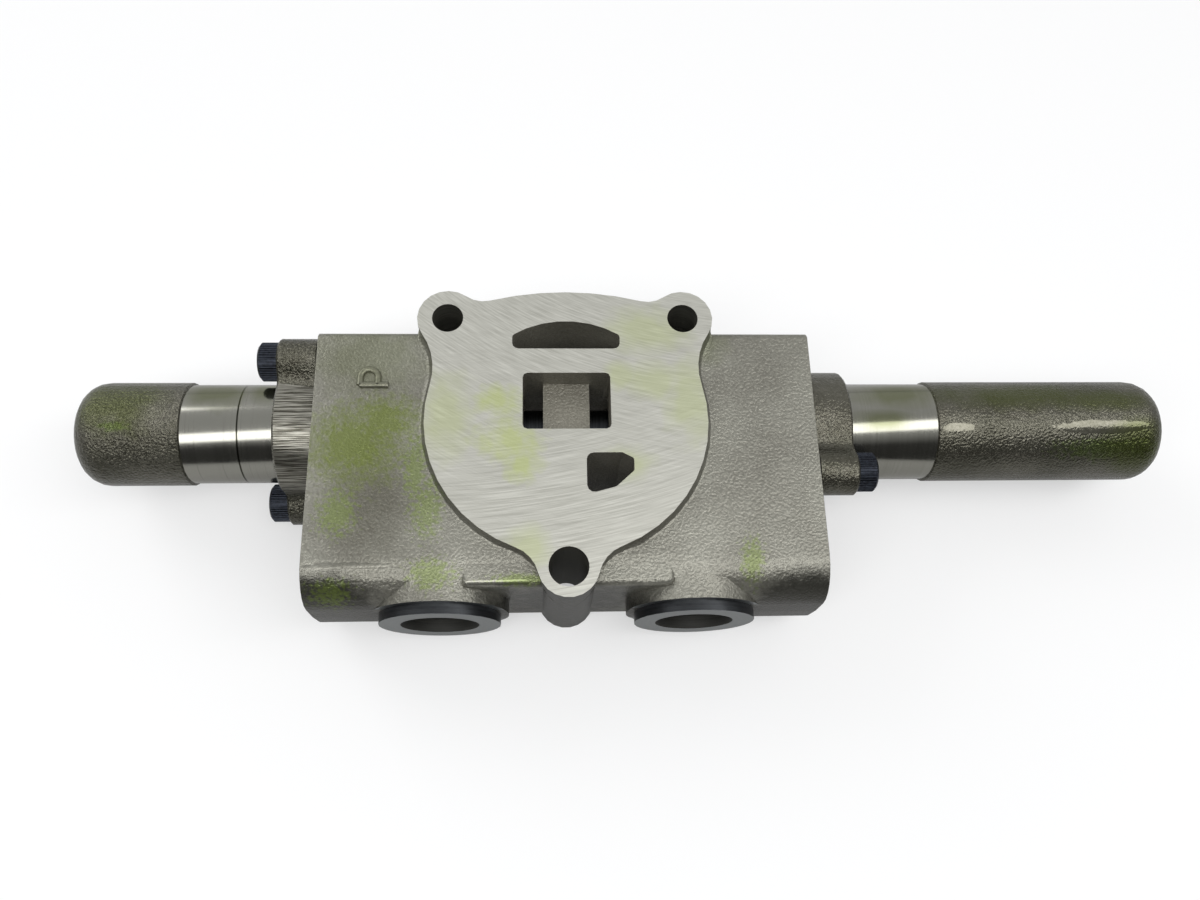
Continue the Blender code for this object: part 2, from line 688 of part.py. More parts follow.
def make_body(ends):
    body = wing_block()
    round_edges(body, WING_END_BEVEL, END_BEVEL_SEGMENTS, END_BEVEL_ANGLE)
    back = block("back_wall", (-BACK_WALL_HALF_LENGTH, 0.0, WING_DROP + REST_GAP),
                 (BACK_WALL_HALF_LENGTH, BACK_WALL_Y, FACE_HEIGHT - WING_DROP - REST_GAP), cutters,
                 BACK_WALL_BEVEL)
    column = pad_column()
    for name, outline in seal_outlines().items():
        cut(column, seal_groove(name, outline))
    join(body, back, port_boss(-1), port_boss(1), column)
    cut(body, through("kidney_cutter", kidney_outline()), core_cutter())
    cut(body, through("pressure_cutter", pressure_outline()), bore_cutter())
    rear = TIE_ROD_SPACING / 2
    tie_rods = [
        (-rear, TIE_ROD_REAR_Y, TIE_ROD_REAR_HOLE),
        (rear, TIE_ROD_REAR_Y, TIE_ROD_REAR_HOLE),
        (0.0, TIE_ROD_FRONT_Y, TIE_ROD_FRONT_HOLE),
    ]
    for x, y, radius in tie_rods:
        cut(body, plain_cylinder("tie_rod_hole", radius, -PAST, FACE_HEIGHT + PAST, cutters, move(x, y)))
    cut(body, port_cutter(-1), port_cutter(1), check_cutter(), *supply_passages())
    for end in ends:
        cut(body, *tapped_holes(end))
    return body


def make_face_seals():
    for name, outline in seal_outlines().items():
        middle = grown(outline, SEAL_LAND + SEAL_GROOVE_WIDTH / 2)
        height = SEAL_GROOVE_DEPTH / 2
        tube(name, [(x, y, height) for x, y in middle], SEAL_RADIUS, True, assembly, finish=rubber)


# Spool

def make_spool():
    core, power, work, tank = chambers()
    necks = [
        (core[0] - LAND_OVERLAP, core[1] + LAND_OPENING),
        (power[0] + LAND_OPENING, work[0] - 2 * LAND_OVERLAP),
        (tank[0] - LAND_OVERLAP, SEAL_SEAT_X - 2 * LAND_OVERLAP),
    ]
    right = []
    slope = SPOOL_CHAMFER
    for inner, outer in necks:
        right += [(inner, SPOOL_RADIUS), (inner + slope, SPOOL_NECK_RADIUS)]
        right += [(outer - slope, SPOOL_NECK_RADIUS), (outer, SPOOL_RADIUS)]
    end = BODY_HALF_LENGTH
    right += [(end - slope, SPOOL_RADIUS), (end, SPOOL_RADIUS - slope), (end, 0.0)]
    profile = [(-x, radius) for x, radius in reversed(right)] + right
    turned("spool", profile, assembly, move(z=AXIS_Z) @ ALONG_X, finish=ground_steel, steps=BORE_STEPS)


def make_spool_seal(name, end):
    middle = SEAL_SEAT_X + RING_SEAL_GROOVE / 2
    ring_seal(name, BORE_RADIUS + RING_SEAL_RADIUS, middle, end)


def ring_seal(name, radius, x, end):
    profile = arc(x, radius, RING_SEAL_RADIUS, math.tau, 0.0, 2 * CHORD_TOLERANCE)[:-1]
    turned(name, profile, assembly, ALONG_X, end, rubber, steps=BORE_STEPS)


# Pilot caps

def flange_outline():
    ears = [(y, z, EAR_RADIUS) for y, z in screw_places()]
    disc = (0.0, 0.0, FLANGE_RADIUS)
    return lobed_outline([disc, ears[1], disc, ears[0]], [EAR_FILLET] * 4)


def make_cap(name, end, end_x):
    outline = flange_outline()
    edge = grown(outline, -FLANGE_CHAMFER)
    levels = [(FLANGE_FACE_X, outline), (FLANGE_OUTER_X - FLANGE_CHAMFER, outline), (FLANGE_OUTER_X, edge)]
    rings = [[(x, y, level) for x, y in points] for level, points in levels]
    cap = lofted(name, rings, assembly, STAND, end, cast_iron)
    for y, z in screw_places():
        place = move(0.0, y, z) @ ALONG_X
        cut(cap, plain_cylinder("screw_clearance", SCREW_SHANK_RADIUS + REST_GAP, FLANGE_FACE_X - PAST,
                                FLANGE_OUTER_X + PAST, cutters, place, end, SMALL_STEPS))
        cut(cap, plain_cylinder("screw_spotface", SCREW_HEAD_RADIUS + REST_GAP, FLANGE_OUTER_X - SCREW_SINK,
                                FLANGE_OUTER_X + SCREW_HEAD_HEIGHT + PAST, cutters, place, end, SMALL_STEPS))
    join(cap, cap_barrel(end, end_x))
    cut(cap, cap_cavity(end, end_x), pilot_port(end, end_x), cap_seal_groove(end))


def cap_barrel(end, end_x):
    quarter = math.radians(90)
    corner_x = end_x - CAP_END_CROWN - CAP_CORNER_RADIUS
    corner_y = BARREL_RADIUS - CAP_CORNER_RADIUS
    corner = arc(corner_x, corner_y, CAP_CORNER_RADIUS, quarter, 0.1 * quarter)
    profile = [
        (FLANGE_FACE_X + FLANGE_THICKNESS / 2, 0.0),
        (FLANGE_FACE_X + FLANGE_THICKNESS / 2, NECK_RADIUS),
        (NECK_END_X, NECK_RADIUS),
        (NECK_END_X + (BARREL_RADIUS - NECK_RADIUS) / 2, BARREL_RADIUS),
        *corner,
        (end_x, PILOT_SPOTFACE_RADIUS + CAP_END_LAND),
        (end_x, 0.0),
    ]
    return turned("cap_barrel", profile, cutters, ALONG_X, end)


def seat_chamber_end():
    return SEAT_FACE_X + SEAT_FLANGE_THICKNESS + STROKE + REST_GAP


def cap_cavity(end, end_x):
    step_x = seat_chamber_end()
    bottom = end_x - CAP_END_WALL
    profile = [
        (FLANGE_FACE_X - PAST, 0.0),
        (FLANGE_FACE_X - PAST, SEAT_CHAMBER_RADIUS),
        (step_x, SEAT_CHAMBER_RADIUS),
        (step_x, SPRING_CHAMBER_RADIUS),
        (bottom, SPRING_CHAMBER_RADIUS),
        (bottom, 0.0),
    ]
    return turned("cap_cavity", profile, cutters, ALONG_X, end, steps=BORE_STEPS)


def pilot_port(end, end_x):
    face = end_x - PILOT_SPOTFACE_DEPTH
    profile = [
        (end_x - CAP_END_WALL - PAST, 0.0),
        (end_x - CAP_END_WALL - PAST, PILOT_DRILL_RADIUS),
        (face - PILOT_THREAD_DEPTH - PILOT_DRILL_CONE, PILOT_DRILL_RADIUS),
        (face - PILOT_THREAD_DEPTH, PILOT_THREAD_RADIUS),
        (face - 2 * PILOT_CHAMFER, PILOT_THREAD_RADIUS),
        (face, PILOT_THREAD_RADIUS + PILOT_CHAMFER),
        (face, PILOT_SPOTFACE_RADIUS),
        (face + PAST, PILOT_SPOTFACE_RADIUS),
        (face + PAST, 0.0),
    ]
    return turned("pilot_port", profile, cutters, ALONG_X, end, steps=SMALL_STEPS)


def cap_seal_groove(end):
    inner = CAP_SEAL_RADIUS - RING_SEAL_GROOVE / 2
    outer = CAP_SEAL_RADIUS + RING_SEAL_GROOVE / 2
    depth = FLANGE_FACE_X + 2 * RING_SEAL_RADIUS + REST_GAP
    profile = [
        (FLANGE_FACE_X - PAST, inner),
        (FLANGE_FACE_X - PAST, outer),
        (depth, outer),
        (depth, inner),
    ]
    return turned("cap_seal_groove", profile, cutters, ALONG_X, end, steps=BORE_STEPS)


def make_cap_seal(name, end):
    ring_seal(name, CAP_SEAL_RADIUS, FLANGE_FACE_X + RING_SEAL_RADIUS - REST_GAP / 2, end)


def make_screw(name, place, end):
    y, z = place
    seat = FLANGE_OUTER_X - SCREW_SINK + REST_GAP
    top = seat + SCREW_HEAD_HEIGHT
    profile = [
        (BODY_HALF_LENGTH - SCREW_ENGAGEMENT, 0.0),
        (BODY_HALF_LENGTH - SCREW_ENGAGEMENT, SCREW_SHANK_RADIUS),
        (seat, SCREW_SHANK_RADIUS),
        (seat, SCREW_HEAD_RADIUS),
        (top - SCREW_HEAD_CHAMFER, SCREW_HEAD_RADIUS),
        (top, SCREW_HEAD_RADIUS - SCREW_HEAD_CHAMFER),
        (top, 0.0),
    ]
    place_matrix = move(0.0, y, z) @ ALONG_X
    screw = turned(name, profile, assembly, place_matrix, end, black_oxide, BORE_STEPS)
    corner = SOCKET_ACROSS_FLATS / 2 / math.cos(math.radians(30))
    socket = plain_cylinder("hex_socket", corner, top - SOCKET_DEPTH, top + PAST, cutters,
                            place_matrix, end, 6)
    cut(screw, socket)


# Centring

def make_seat(name, end):
    outer = SEAT_FACE_X + SEAT_FLANGE_THICKNESS
    profile = [
        (SEAT_FACE_X, SEAT_HOLE_RADIUS),
        (SEAT_FACE_X, SEAT_FLANGE_RADIUS),
        (outer, SEAT_FLANGE_RADIUS),
        (outer, SEAT_HUB_RADIUS),
        (outer + SEAT_HUB_LENGTH - SPOOL_CHAMFER, SEAT_HUB_RADIUS),
        (outer + SEAT_HUB_LENGTH, SEAT_HUB_RADIUS - SPOOL_CHAMFER),
        (outer + SEAT_HUB_LENGTH, SEAT_HOLE_RADIUS),
    ]
    turned(name, profile, assembly, ALONG_X, end, ground_steel, steps=BORE_STEPS)


# A coil between two planes, with one closed turn at each end.
def coil_points(low, high, radius, wire, turns, steps=SPRING_STEPS):
    first = low + wire
    last = high - wire
    closed = 2 * wire + COIL_GAP
    pitch = (last - first - 2 * closed) / turns
    heights = [first + closed * i / steps for i in range(steps)]
    heights += [first + closed + pitch * i / steps for i in range(turns * steps)]
    heights += [last - closed + closed * i / steps for i in range(steps + 1)]
    points = []
    for i, height in enumerate(heights):
        angle = math.tau * i / steps
        points.append((radius * math.cos(angle), radius * math.sin(angle), height))
    return points


def make_spring(name, end, end_x, turns):
    low = SEAT_FACE_X + SEAT_FLANGE_THICKNESS + REST_GAP
    high = end_x - CAP_END_WALL - REST_GAP
    points = coil_points(low, high, SPRING_MEAN_RADIUS, SPRING_WIRE_RADIUS, turns)
    tube(name, points, SPRING_WIRE_RADIUS, False, assembly, ALONG_X, end, spring_steel)


# Load check

def make_check():
    lean = REST_GAP * math.sqrt(2)
    skirt = CHECK_BORE_RADIUS - REST_GAP
    nose = CHECK_THROAT_RADIUS - CHECK_NOSE_CLEARANCE
    shoulder = CHECK_SEAT_Z - lean + REST_GAP
    inside = skirt - CHECK_WALL
    bottom = shoulder - CHECK_SKIRT_LENGTH
    tip = shoulder + skirt - nose
    profile = [
        (shoulder - CHECK_CROWN, 0.0),
        (shoulder - CHECK_CROWN, inside),
        (bottom, inside),
        (bottom, skirt),
        (shoulder, skirt),
        (tip, nose),
        (tip, 0.0),
    ]
    place = move(CHECK_X, CHECK_Y)
    turned("check_poppet", profile, assembly, place, finish=ground_steel, steps=SMALL_STEPS)
    points = coil_points(REST_GAP, shoulder - CHECK_CROWN - REST_GAP,
                         inside - CHECK_SPRING_WIRE - REST_GAP, CHECK_SPRING_WIRE, CHECK_SPRING_TURNS)
    tube("check_spring", points, CHECK_SPRING_WIRE, False, assembly, place, finish=spring_steel)


def make_end_frame(name, angle):
    frame = bpy.data.objects.new(name, None)
    assembly.objects.link(frame)
    frame.matrix_basis = move(z=AXIS_Z) @ Matrix.Rotation(angle, 4, "Z")
    return frame


def make_end(side, end, cap_name, end_x, turns):
    make_cap(cap_name, end, end_x)
    make_cap_seal(cap_name + "_oring", end)
    make_spool_seal(side + "_spool_seal", end)
    make_seat(side + "_spring_seat", end)
    make_spring(side + "_centering_spring", end, end_x, turns)
    make_screw(cap_name + "_screw_upper", screw_places()[0], end)
    make_screw(cap_name + "_screw_lower", screw_places()[1], end)


clear_scene()
assembly = new_collection("directional_valve_section")
cutters = new_collection("cutters")
cast_iron = make_material("cast_iron", (0.22, 0.21, 0.17), 0.4, 0.6)
ground_steel = make_material("ground_steel", (0.45, 0.45, 0.44), 1.0, 0.3)
spring_steel = make_material("spring_steel", (0.12, 0.12, 0.12), 0.9, 0.4)
black_oxide = make_material("black_oxide", (0.02, 0.022, 0.03), 0.8, 0.35)
rubber = make_material("nitrile_rubber", (0.01, 0.01, 0.01), 0.0, 0.6)

right_end = make_end_frame("right_end", 0.0)
left_end = make_end_frame("left_end", math.pi)
make_body((left_end, right_end))
make_spool()
make_face_seals()
make_check()
make_end("left", left_end, "short_cap", SHORT_CAP_END_X, SHORT_SPRING_TURNS)
make_end("right", right_end, "long_cap", LONG_CAP_END_X, LONG_SPRING_TURNS)
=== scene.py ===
import json
import math

import bmesh
import bpy
from mathutils import Matrix, Vector


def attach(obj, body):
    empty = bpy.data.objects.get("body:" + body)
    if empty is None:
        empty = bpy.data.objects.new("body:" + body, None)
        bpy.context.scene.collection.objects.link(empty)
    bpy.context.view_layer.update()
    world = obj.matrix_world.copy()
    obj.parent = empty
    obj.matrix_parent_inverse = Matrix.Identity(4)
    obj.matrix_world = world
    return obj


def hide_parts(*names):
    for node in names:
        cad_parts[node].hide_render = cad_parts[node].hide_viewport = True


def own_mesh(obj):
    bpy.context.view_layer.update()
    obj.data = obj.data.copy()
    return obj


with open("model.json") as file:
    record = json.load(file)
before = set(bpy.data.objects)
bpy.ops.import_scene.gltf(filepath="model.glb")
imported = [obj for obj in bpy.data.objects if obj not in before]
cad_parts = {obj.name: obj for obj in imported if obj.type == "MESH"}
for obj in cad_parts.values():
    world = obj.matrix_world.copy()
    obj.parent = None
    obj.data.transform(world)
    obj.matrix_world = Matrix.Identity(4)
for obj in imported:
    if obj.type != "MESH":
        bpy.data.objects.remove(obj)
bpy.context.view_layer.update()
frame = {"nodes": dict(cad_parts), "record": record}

mm = 0.001
bodyOf = {node: body for body, nodes in frame["record"]["behaviour"]["bodies"].items() for node in nodes}
axisHeight = 25  # mm, of the spool above the lower mating face
portX = 40  # mm, of each work port from the middle
print("frame loaded:", len(frame["nodes"]), "nodes")


# An sRGB hex colour as the linear one that sockets take.
def linear(hexColour):
    levels = [int(hexColour[i:i + 2], 16) / 255 for i in (1, 3, 5)]
    return [v / 12.92 if v <= 0.04045 else ((v + 0.055) / 1.055) ** 2.4 for v in levels] + [1.0]


# Adds a node. An input given as a socket becomes a link, anything else its value.
def addNode(tree, kind, inputs=None, **settings):
    node = tree.nodes.new(kind)
    for key, value in settings.items():
        setattr(node, key, value)
    for key, value in (inputs or {}).items():
        if isinstance(value, bpy.types.NodeSocket):
            tree.links.new(value, node.inputs[key])
        else:
            node.inputs[key].default_value = value
    return node


def startMaterial(name):
    material = bpy.data.materials.new(name)
    material.use_nodes = True
    tree = material.node_tree
    place = addNode(tree, "ShaderNodeTexCoord").outputs["Object"]
    return material, tree, tree.nodes["Principled BSDF"], place


# Where patches lie: ovals about (x, y, z) with three half axes, in mm, their edges torn by a noise
# of the given grain. wobble is how far it tears them, as a share of the ovals, and soft how far they fade.
def patches(tree, place, ovals, grain, wobble, soft):
    torn = addNode(tree, "ShaderNodeTexNoise", {"Vector": place, "Scale": 1 / (grain * mm), "Detail": 3.0})
    nearest = None
    for x, y, z, halfX, halfY, halfZ in ovals:
        middle = (x * mm, y * mm, z * mm)
        halves = (halfX * mm, halfY * mm, halfZ * mm)
        offset = addNode(tree, "ShaderNodeVectorMath", {0: place, 1: middle}, operation="SUBTRACT")
        scaled = addNode(tree, "ShaderNodeVectorMath", {0: offset.outputs[0], 1: halves}, operation="DIVIDE")
        length = addNode(tree, "ShaderNodeVectorMath", {0: scaled.outputs[0]}, operation="LENGTH")
        gap = length.outputs["Value"]
        if nearest:
            gap = addNode(tree, "ShaderNodeMath", {0: nearest, 1: gap}, operation="MINIMUM").outputs[0]
        nearest = gap
    edge = addNode(tree, "ShaderNodeMath", {0: torn.outputs["Fac"], 1: wobble, 2: nearest},
                   operation="MULTIPLY_ADD")
    rim = 1 + wobble / 2
    inside = addNode(tree, "ShaderNodeMapRange", {"Value": edge.outputs[0], "From Min": rim + soft / 2,
                                                  "From Max": rim - soft / 2})
    return inside.outputs["Result"]


def ramp(tree, value, source, target):
    return addNode(tree, "ShaderNodeMapRange", {"Value": value, "From Min": source[0], "From Max": source[1],
                                                "To Min": target[0], "To Max": target[1]}).outputs["Result"]


def blend(tree, share, first, second):
    return addNode(tree, "ShaderNodeMix", {0: share, 6: first, 7: second}, data_type="RGBA").outputs[2]


# Marks drawn out along a cut: pull is their density per metre along each axis.
def toolMarks(tree, vector, pull, detail=3.0):
    drawn = addNode(tree, "ShaderNodeVectorMath", {0: vector, 1: pull}, operation="MULTIPLY")
    marks = addNode(tree, "ShaderNodeTexNoise", {"Vector": drawn.outputs["Vector"], "Scale": 1.0,
                                                 "Detail": detail})
    return marks.outputs["Fac"]


# Lays each stain, and each patch of painted shade, over the colour.
def tinted(tree, place, colour, look):
    for stainOrShade in look["stainsAndShade"]:
        where = patches(tree, place, stainOrShade["ovals"], stainOrShade["grain"], stainOrShade["wobble"], stainOrShade["soft"])
        share = addNode(tree, "ShaderNodeMath", {0: where, 1: stainOrShade["strength"]}, operation="MULTIPLY")
        colour = blend(tree, share.outputs[0], colour, linear(stainOrShade["colour"]))
    return colour


# Colour between two tones, roughness and a fine bump, all from the same marks.
def markedMetal(tree, shader, place, marks, look):
    tone = ramp(tree, marks, look["markRange"], (0, 1))
    colour = blend(tree, tone, linear(look["dark"]), linear(look["light"]))
    rough = ramp(tree, marks, (0.3, 0.7), look["rough"])
    bump = addNode(tree, "ShaderNodeBump", {"Height": marks, "Strength": look["bump"],
                                            "Distance": look["depth"] * mm})
    tree.links.new(tinted(tree, place, colour, look), shader.inputs["Base Color"])
    tree.links.new(rough, shader.inputs["Roughness"])
    tree.links.new(bump.outputs["Normal"], shader.inputs["Normal"])
    shader.inputs["Metallic"].default_value = look["metallic"]


# Sand-cast iron: a skin of sand grains, stained with assembly oil, darkened with painted shade where a look
# lists it, and slick where a film of it stands.
def castFinish(name, look):
    material, tree, shader, place = startMaterial(name)
    grains = addNode(tree, "ShaderNodeTexNoise", {"Vector": place, "Scale": 1 / (look["grain"] * mm),
                                                  "Detail": 2.5, "Roughness": 0.5}).outputs["Fac"]
    clouds = addNode(tree, "ShaderNodeTexNoise", {"Vector": place, "Scale": 1 / (look["cloud"] * mm),
                                                  "Detail": 2.0}).outputs["Fac"]
    mixed = addNode(tree, "ShaderNodeMix", {0: look["cloudShare"], 2: grains, 3: clouds}, data_type="FLOAT")
    tone = ramp(tree, mixed.outputs[0], (0.35, 0.65), (0, 1))
    colour = blend(tree, tone, linear(look["dark"]), linear(look["light"]))
    film = patches(tree, place, look["film"], look["filmGrain"], 0.9, 0.12)
    rough = ramp(tree, film, (0, 1), look["rough"])
    relief = ramp(tree, film, (0, 1), (look["bump"], look["bump"] * 0.12))
    bump = addNode(tree, "ShaderNodeBump", {"Height": grains, "Strength": relief,
                                            "Distance": look["depth"] * mm})
    tree.links.new(tinted(tree, place, colour, look), shader.inputs["Base Color"])
    tree.links.new(rough, shader.inputs["Roughness"])
    tree.links.new(bump.outputs["Normal"], shader.inputs["Normal"])
    shader.inputs["Metallic"].default_value = look["metallic"]
    return material


# Lengths are in mm. The sand grain is drawn coarser than real sand, so that it shows in a whole view.
bodyCastLook = {
    "light": "#8e8d83", "dark": "#716f66", "grain": 0.8, "cloud": 24, "cloudShare": 0.55,
    "rough": (0.38, 0.2), "bump": 0.75, "depth": 0.4, "metallic": 0.62,
    "film": [(-66, -50.5, 46, 15, 1.2, 3), (-22, -55.8, 46, 11, 0.9, 2)],
    "filmGrain": 2.0,
    "stainsAndShade": [
        {"colour": "#403d2e", "strength": 0.5, "grain": 5, "wobble": 1.2, "soft": 1.5, "ovals": [
            (-59, -31, 47, 12, 16, 8)]},
        # Painted shade: the front walls and the rounded front edges darkened to near black.
        {"colour": "#1b1a15", "strength": 0.8, "grain": 4, "wobble": 0.5, "soft": 0.4, "ovals": [
            (-73, -64, 25, 18, 13, 40), (73, -64, 25, 18, 13, 40), (0, -64, 25, 31, 10, 40)]},
        {"colour": "#626f20", "strength": 0.75, "grain": 1.4, "wobble": 1.9, "soft": 1.1, "ovals": [
            (-66, -12, 47, 13, 11, 8), (-57, -4, 47, 10, 7, 8)]},
        {"colour": "#6d7f2c", "strength": 0.5, "grain": 1.3, "wobble": 3.4, "soft": 0.8, "ovals": [
            (-47, -20, 47, 3, 9, 8), (-43, -33, 47, 4, 8, 8), (-70, -34, 47, 5, 6, 8),
            (-41, -53, 46, 6, 4, 8), (-71, -57, 38, 6, 3, 10), (56, -50, 46, 3, 6, 8),
            (-14, -55, 46, 8, 1.6, 4)]},
        {"colour": "#61683f", "strength": 0.35, "grain": 6, "wobble": 1.2, "soft": 0.9, "ovals": [
            (-62, 18, 47, 16, 12, 8), (44, 24, 47, 8, 8, 8)]},
    ],
}
capCastLook = {
    "light": "#66645a", "dark": "#47463b", "grain": 0.8, "cloud": 18, "cloudShare": 0.5,
    "rough": (0.25, 0.08), "bump": 0.85, "depth": 0.5, "metallic": 0.8,
    "film": [(178, -4.8, 41, 17, 2.2, 6), (129, -4.9, 41, 6, 1.5, 6)], "filmGrain": 3.5,
    "stainsAndShade": [
        {"colour": "#51661c", "strength": 0.5, "grain": 1.3, "wobble": 2.6, "soft": 0.9, "ovals": [
            (-142, -3.5, 41, 4, 1.2, 6), (180, -11, 37, 16, 2.5, 8)]},
        {"colour": "#4a5122", "strength": 0.6, "grain": 9, "wobble": 1.2, "soft": 0.9, "ovals": [
            (-143, 6, 38, 13, 10, 12), (152, 7, 38, 26, 5, 10), (178, 5, 38, 18, 4, 12),
            (190, -10, 36, 10, 8, 12)]},
    ],
}
noFilm = [(0, 0, -90, 1, 1, 1)]  # below the part, where nothing is slick
coreCastLook = {**bodyCastLook, "light": "#8a877b", "dark": "#6a675c", "film": noFilm, "metallic": 0.3,
                "stainsAndShade": []}
# Body: grey sand grain with green oil on the left wing and painted shade, near black, on the front walls and
# edges. Oily caps: darker, with a glossy streak on the long one and bright grains on the short one. Core:
# dull. Letter: the grain worn flat.
sandCastBody = castFinish("sandCastIronBody", bodyCastLook)
sandCastCap = castFinish("sandCastIronOily", capCastLook)
sandCastShortCap = castFinish("sandCastIronGlinting", {**capCastLook, "film": noFilm, "rough": (0.16, 0.16),
                                                       "depth": 0.75})
coreCast = castFinish("sandCastIronCore", coreCastLook)
letterCast = castFinish("sandCastIronLetter", {**bodyCastLook, "light": "#9a9888", "depth": 0.15})


# Ground cast iron: warm light grey, with the long arcs that a cup wheel leaves one over another.
groundLook = {
    "wheels": [(-45, 215), (62, 165)],  # mm, the middles of the arcs across the lower and the upper part
    # How the lower arcs give way to the upper ones, in patches 45 mm across
    "region": 45, "climb": 18.0, "handover": ((-0.1, 0.75), (0.12, 0.88)),
    "pull": (2200, 14, 1),  # marks 0.45 mm apart, coarser than real ones so that they show
    "light": "#cfcec5", "dark": "#b1b0a6", "markRange": (0.3, 0.7), "rough": (0.3, 0.42),
    "bump": 0.3, "depth": 0.02, "metallic": 0.75,
    "stainsAndShade": [
        {"colour": "#b6c45a", "strength": 0.5, "grain": 4, "wobble": 2.2, "soft": 1.3, "ovals": [
            (-18, -12, 50, 8, 6, 5), (-21, 1, 50, 6, 4, 5), (-14, -20, 50, 5, 4, 5)]},
        {"colour": "#b9c283", "strength": 0.45, "grain": 7, "wobble": 1.4, "soft": 1.0, "ovals": [
            (39, 2, 50, 7, 12, 5), (26, 26, 50, 12, 7, 5), (28, 8, 50, 8, 6, 5), (-38, -4, 50, 7, 12, 5),
            (17, 10, 50, 5, 4, 5), (18, -20, 50, 7, 5, 5), (-12, -46, 50, 6, 5, 5)]},
    ],
}


def groundFinish(name, look):
    material, tree, shader, place = startMaterial(name)
    sets = []
    for x, y in look["wheels"]:
        away = addNode(tree, "ShaderNodeVectorMath", {0: place, 1: (x * mm, y * mm, 0)}, operation="SUBTRACT")
        flat = addNode(tree, "ShaderNodeVectorMath", {0: away.outputs["Vector"], 1: (1, 1, 0)},
                       operation="MULTIPLY")
        reach = addNode(tree, "ShaderNodeVectorMath", {0: flat.outputs["Vector"]}, operation="LENGTH")
        sides = addNode(tree, "ShaderNodeSeparateXYZ", {0: flat.outputs["Vector"]})
        turn = addNode(tree, "ShaderNodeMath", {0: sides.outputs["X"], 1: sides.outputs["Y"]},
                       operation="DIVIDE")
        polar = addNode(tree, "ShaderNodeCombineXYZ", {0: reach.outputs["Value"], 1: turn.outputs[0]})
        sets.append(toolMarks(tree, polar.outputs[0], look["pull"], 4.0))
    where = addNode(tree, "ShaderNodeTexNoise", {"Vector": place, "Scale": 1 / (look["region"] * mm),
                                                 "Detail": 1.0})
    height = addNode(tree, "ShaderNodeSeparateXYZ", {0: place}).outputs["Y"]
    upward = addNode(tree, "ShaderNodeMath", {0: height, 1: look["climb"], 2: where.outputs["Fac"]},
                     operation="MULTIPLY_ADD")
    share = ramp(tree, upward.outputs[0], *look["handover"])
    marks = addNode(tree, "ShaderNodeMix", {0: share, 2: sets[0], 3: sets[1]}, data_type="FLOAT")
    markedMetal(tree, shader, place, marks.outputs[0], look)
    return material


groundIron = groundFinish("groundIron", groundLook)


# Turned iron round the work ports: rings of fine tool marks about each port's axis, blue-grey on the face.
# Near-black copies of it are painted shade on the ring's wall and, dull, inside the thread.
def turnedPortFinish(name, look):
    material, tree, shader, place = startMaterial(name)
    sides = addNode(tree, "ShaderNodeSeparateXYZ", {0: place})
    across = addNode(tree, "ShaderNodeMath", {0: sides.outputs["X"]}, operation="ABSOLUTE")
    offset = addNode(tree, "ShaderNodeCombineXYZ", {0: across.outputs[0], 1: sides.outputs["Z"]})
    away = addNode(tree, "ShaderNodeVectorMath", {0: offset.outputs[0], 1: (portX * mm, axisHeight * mm, 0)},
                   operation="DISTANCE")
    rings = addNode(tree, "ShaderNodeCombineXYZ", {0: away.outputs["Value"], 1: sides.outputs["Y"]})
    # Feed marks 0.4 mm apart, coarser than real ones so that they show
    marks = toolMarks(tree, rings.outputs[0], (2600, 2600, 1), 2.0)
    markedMetal(tree, shader, place, marks, look)
    return material


turnedLook = {"light": "#7f8383", "dark": "#686c6c", "markRange": (0.3, 0.7), "rough": (0.3, 0.42),
              "bump": 0.3, "depth": 0.02, "metallic": 0.85, "stainsAndShade": []}
turnedPort = turnedPortFinish("turnedIronPort", turnedLook)
# Painted shade: a near-black copy of the port's turned iron for the ring's side wall.
shadedRingWall = turnedPortFinish("turnedIronRingWallPaintedShade", {**turnedLook, "light": "#3f4143", "dark": "#292a2c"})
# Painted shade: a dull, near-black copy for the tapped threads and bores deep in the holes.
shadedThreadCut = turnedPortFinish("tappedIronThreadPaintedShade", {**turnedLook, "light": "#34342f", "dark": "#20201d",
                                                  "rough": (0.6, 0.75), "metallic": 0.3})


# Iron marked along plain directions: pull is the marks' density along x, y and z. A turned line is
# a fine dark groove round the piece at one place along the spool.
def straightMarkFinish(name, pull, look):
    material, tree, shader, place = startMaterial(name)
    marks = toolMarks(tree, place, pull)
    if "lineAt" in look:
        along = addNode(tree, "ShaderNodeSeparateXYZ", {0: place}).outputs["X"]
        side = addNode(tree, "ShaderNodeMath", {0: along, 1: look["lineAt"] * mm}, operation="SUBTRACT")
        off = addNode(tree, "ShaderNodeMath", {0: side.outputs[0]}, operation="ABSOLUTE").outputs[0]
        keep = ramp(tree, off, [edge * mm for edge in look["lineEdge"]], (0, 1))
        marks = addNode(tree, "ShaderNodeMath", {0: marks, 1: keep}, operation="MULTIPLY").outputs[0]
    markedMetal(tree, shader, place, marks, look)
    return material


neckLook = {
    "light": "#93928a", "dark": "#84837a", "markRange": (0.2, 0.7), "rough": (0.13, 0.2), "bump": 0.12,
    "depth": 0.01, "metallic": 0.95,
    "stainsAndShade": [
        {"colour": "#5f6438", "strength": 0.6, "grain": 8, "wobble": 1.0, "soft": 1.0, "ovals": [
            (-112, 9, 37, 9, 6, 9), (-97, 11, 36, 5, 6, 9), (110, 8, 38, 12, 5, 9), (104, -2, 41, 8, 3, 6)]}],
}
neckPull = (2600, 25, 25)  # turned about the spool's axis, marks 0.4 mm apart, coarser than real ones
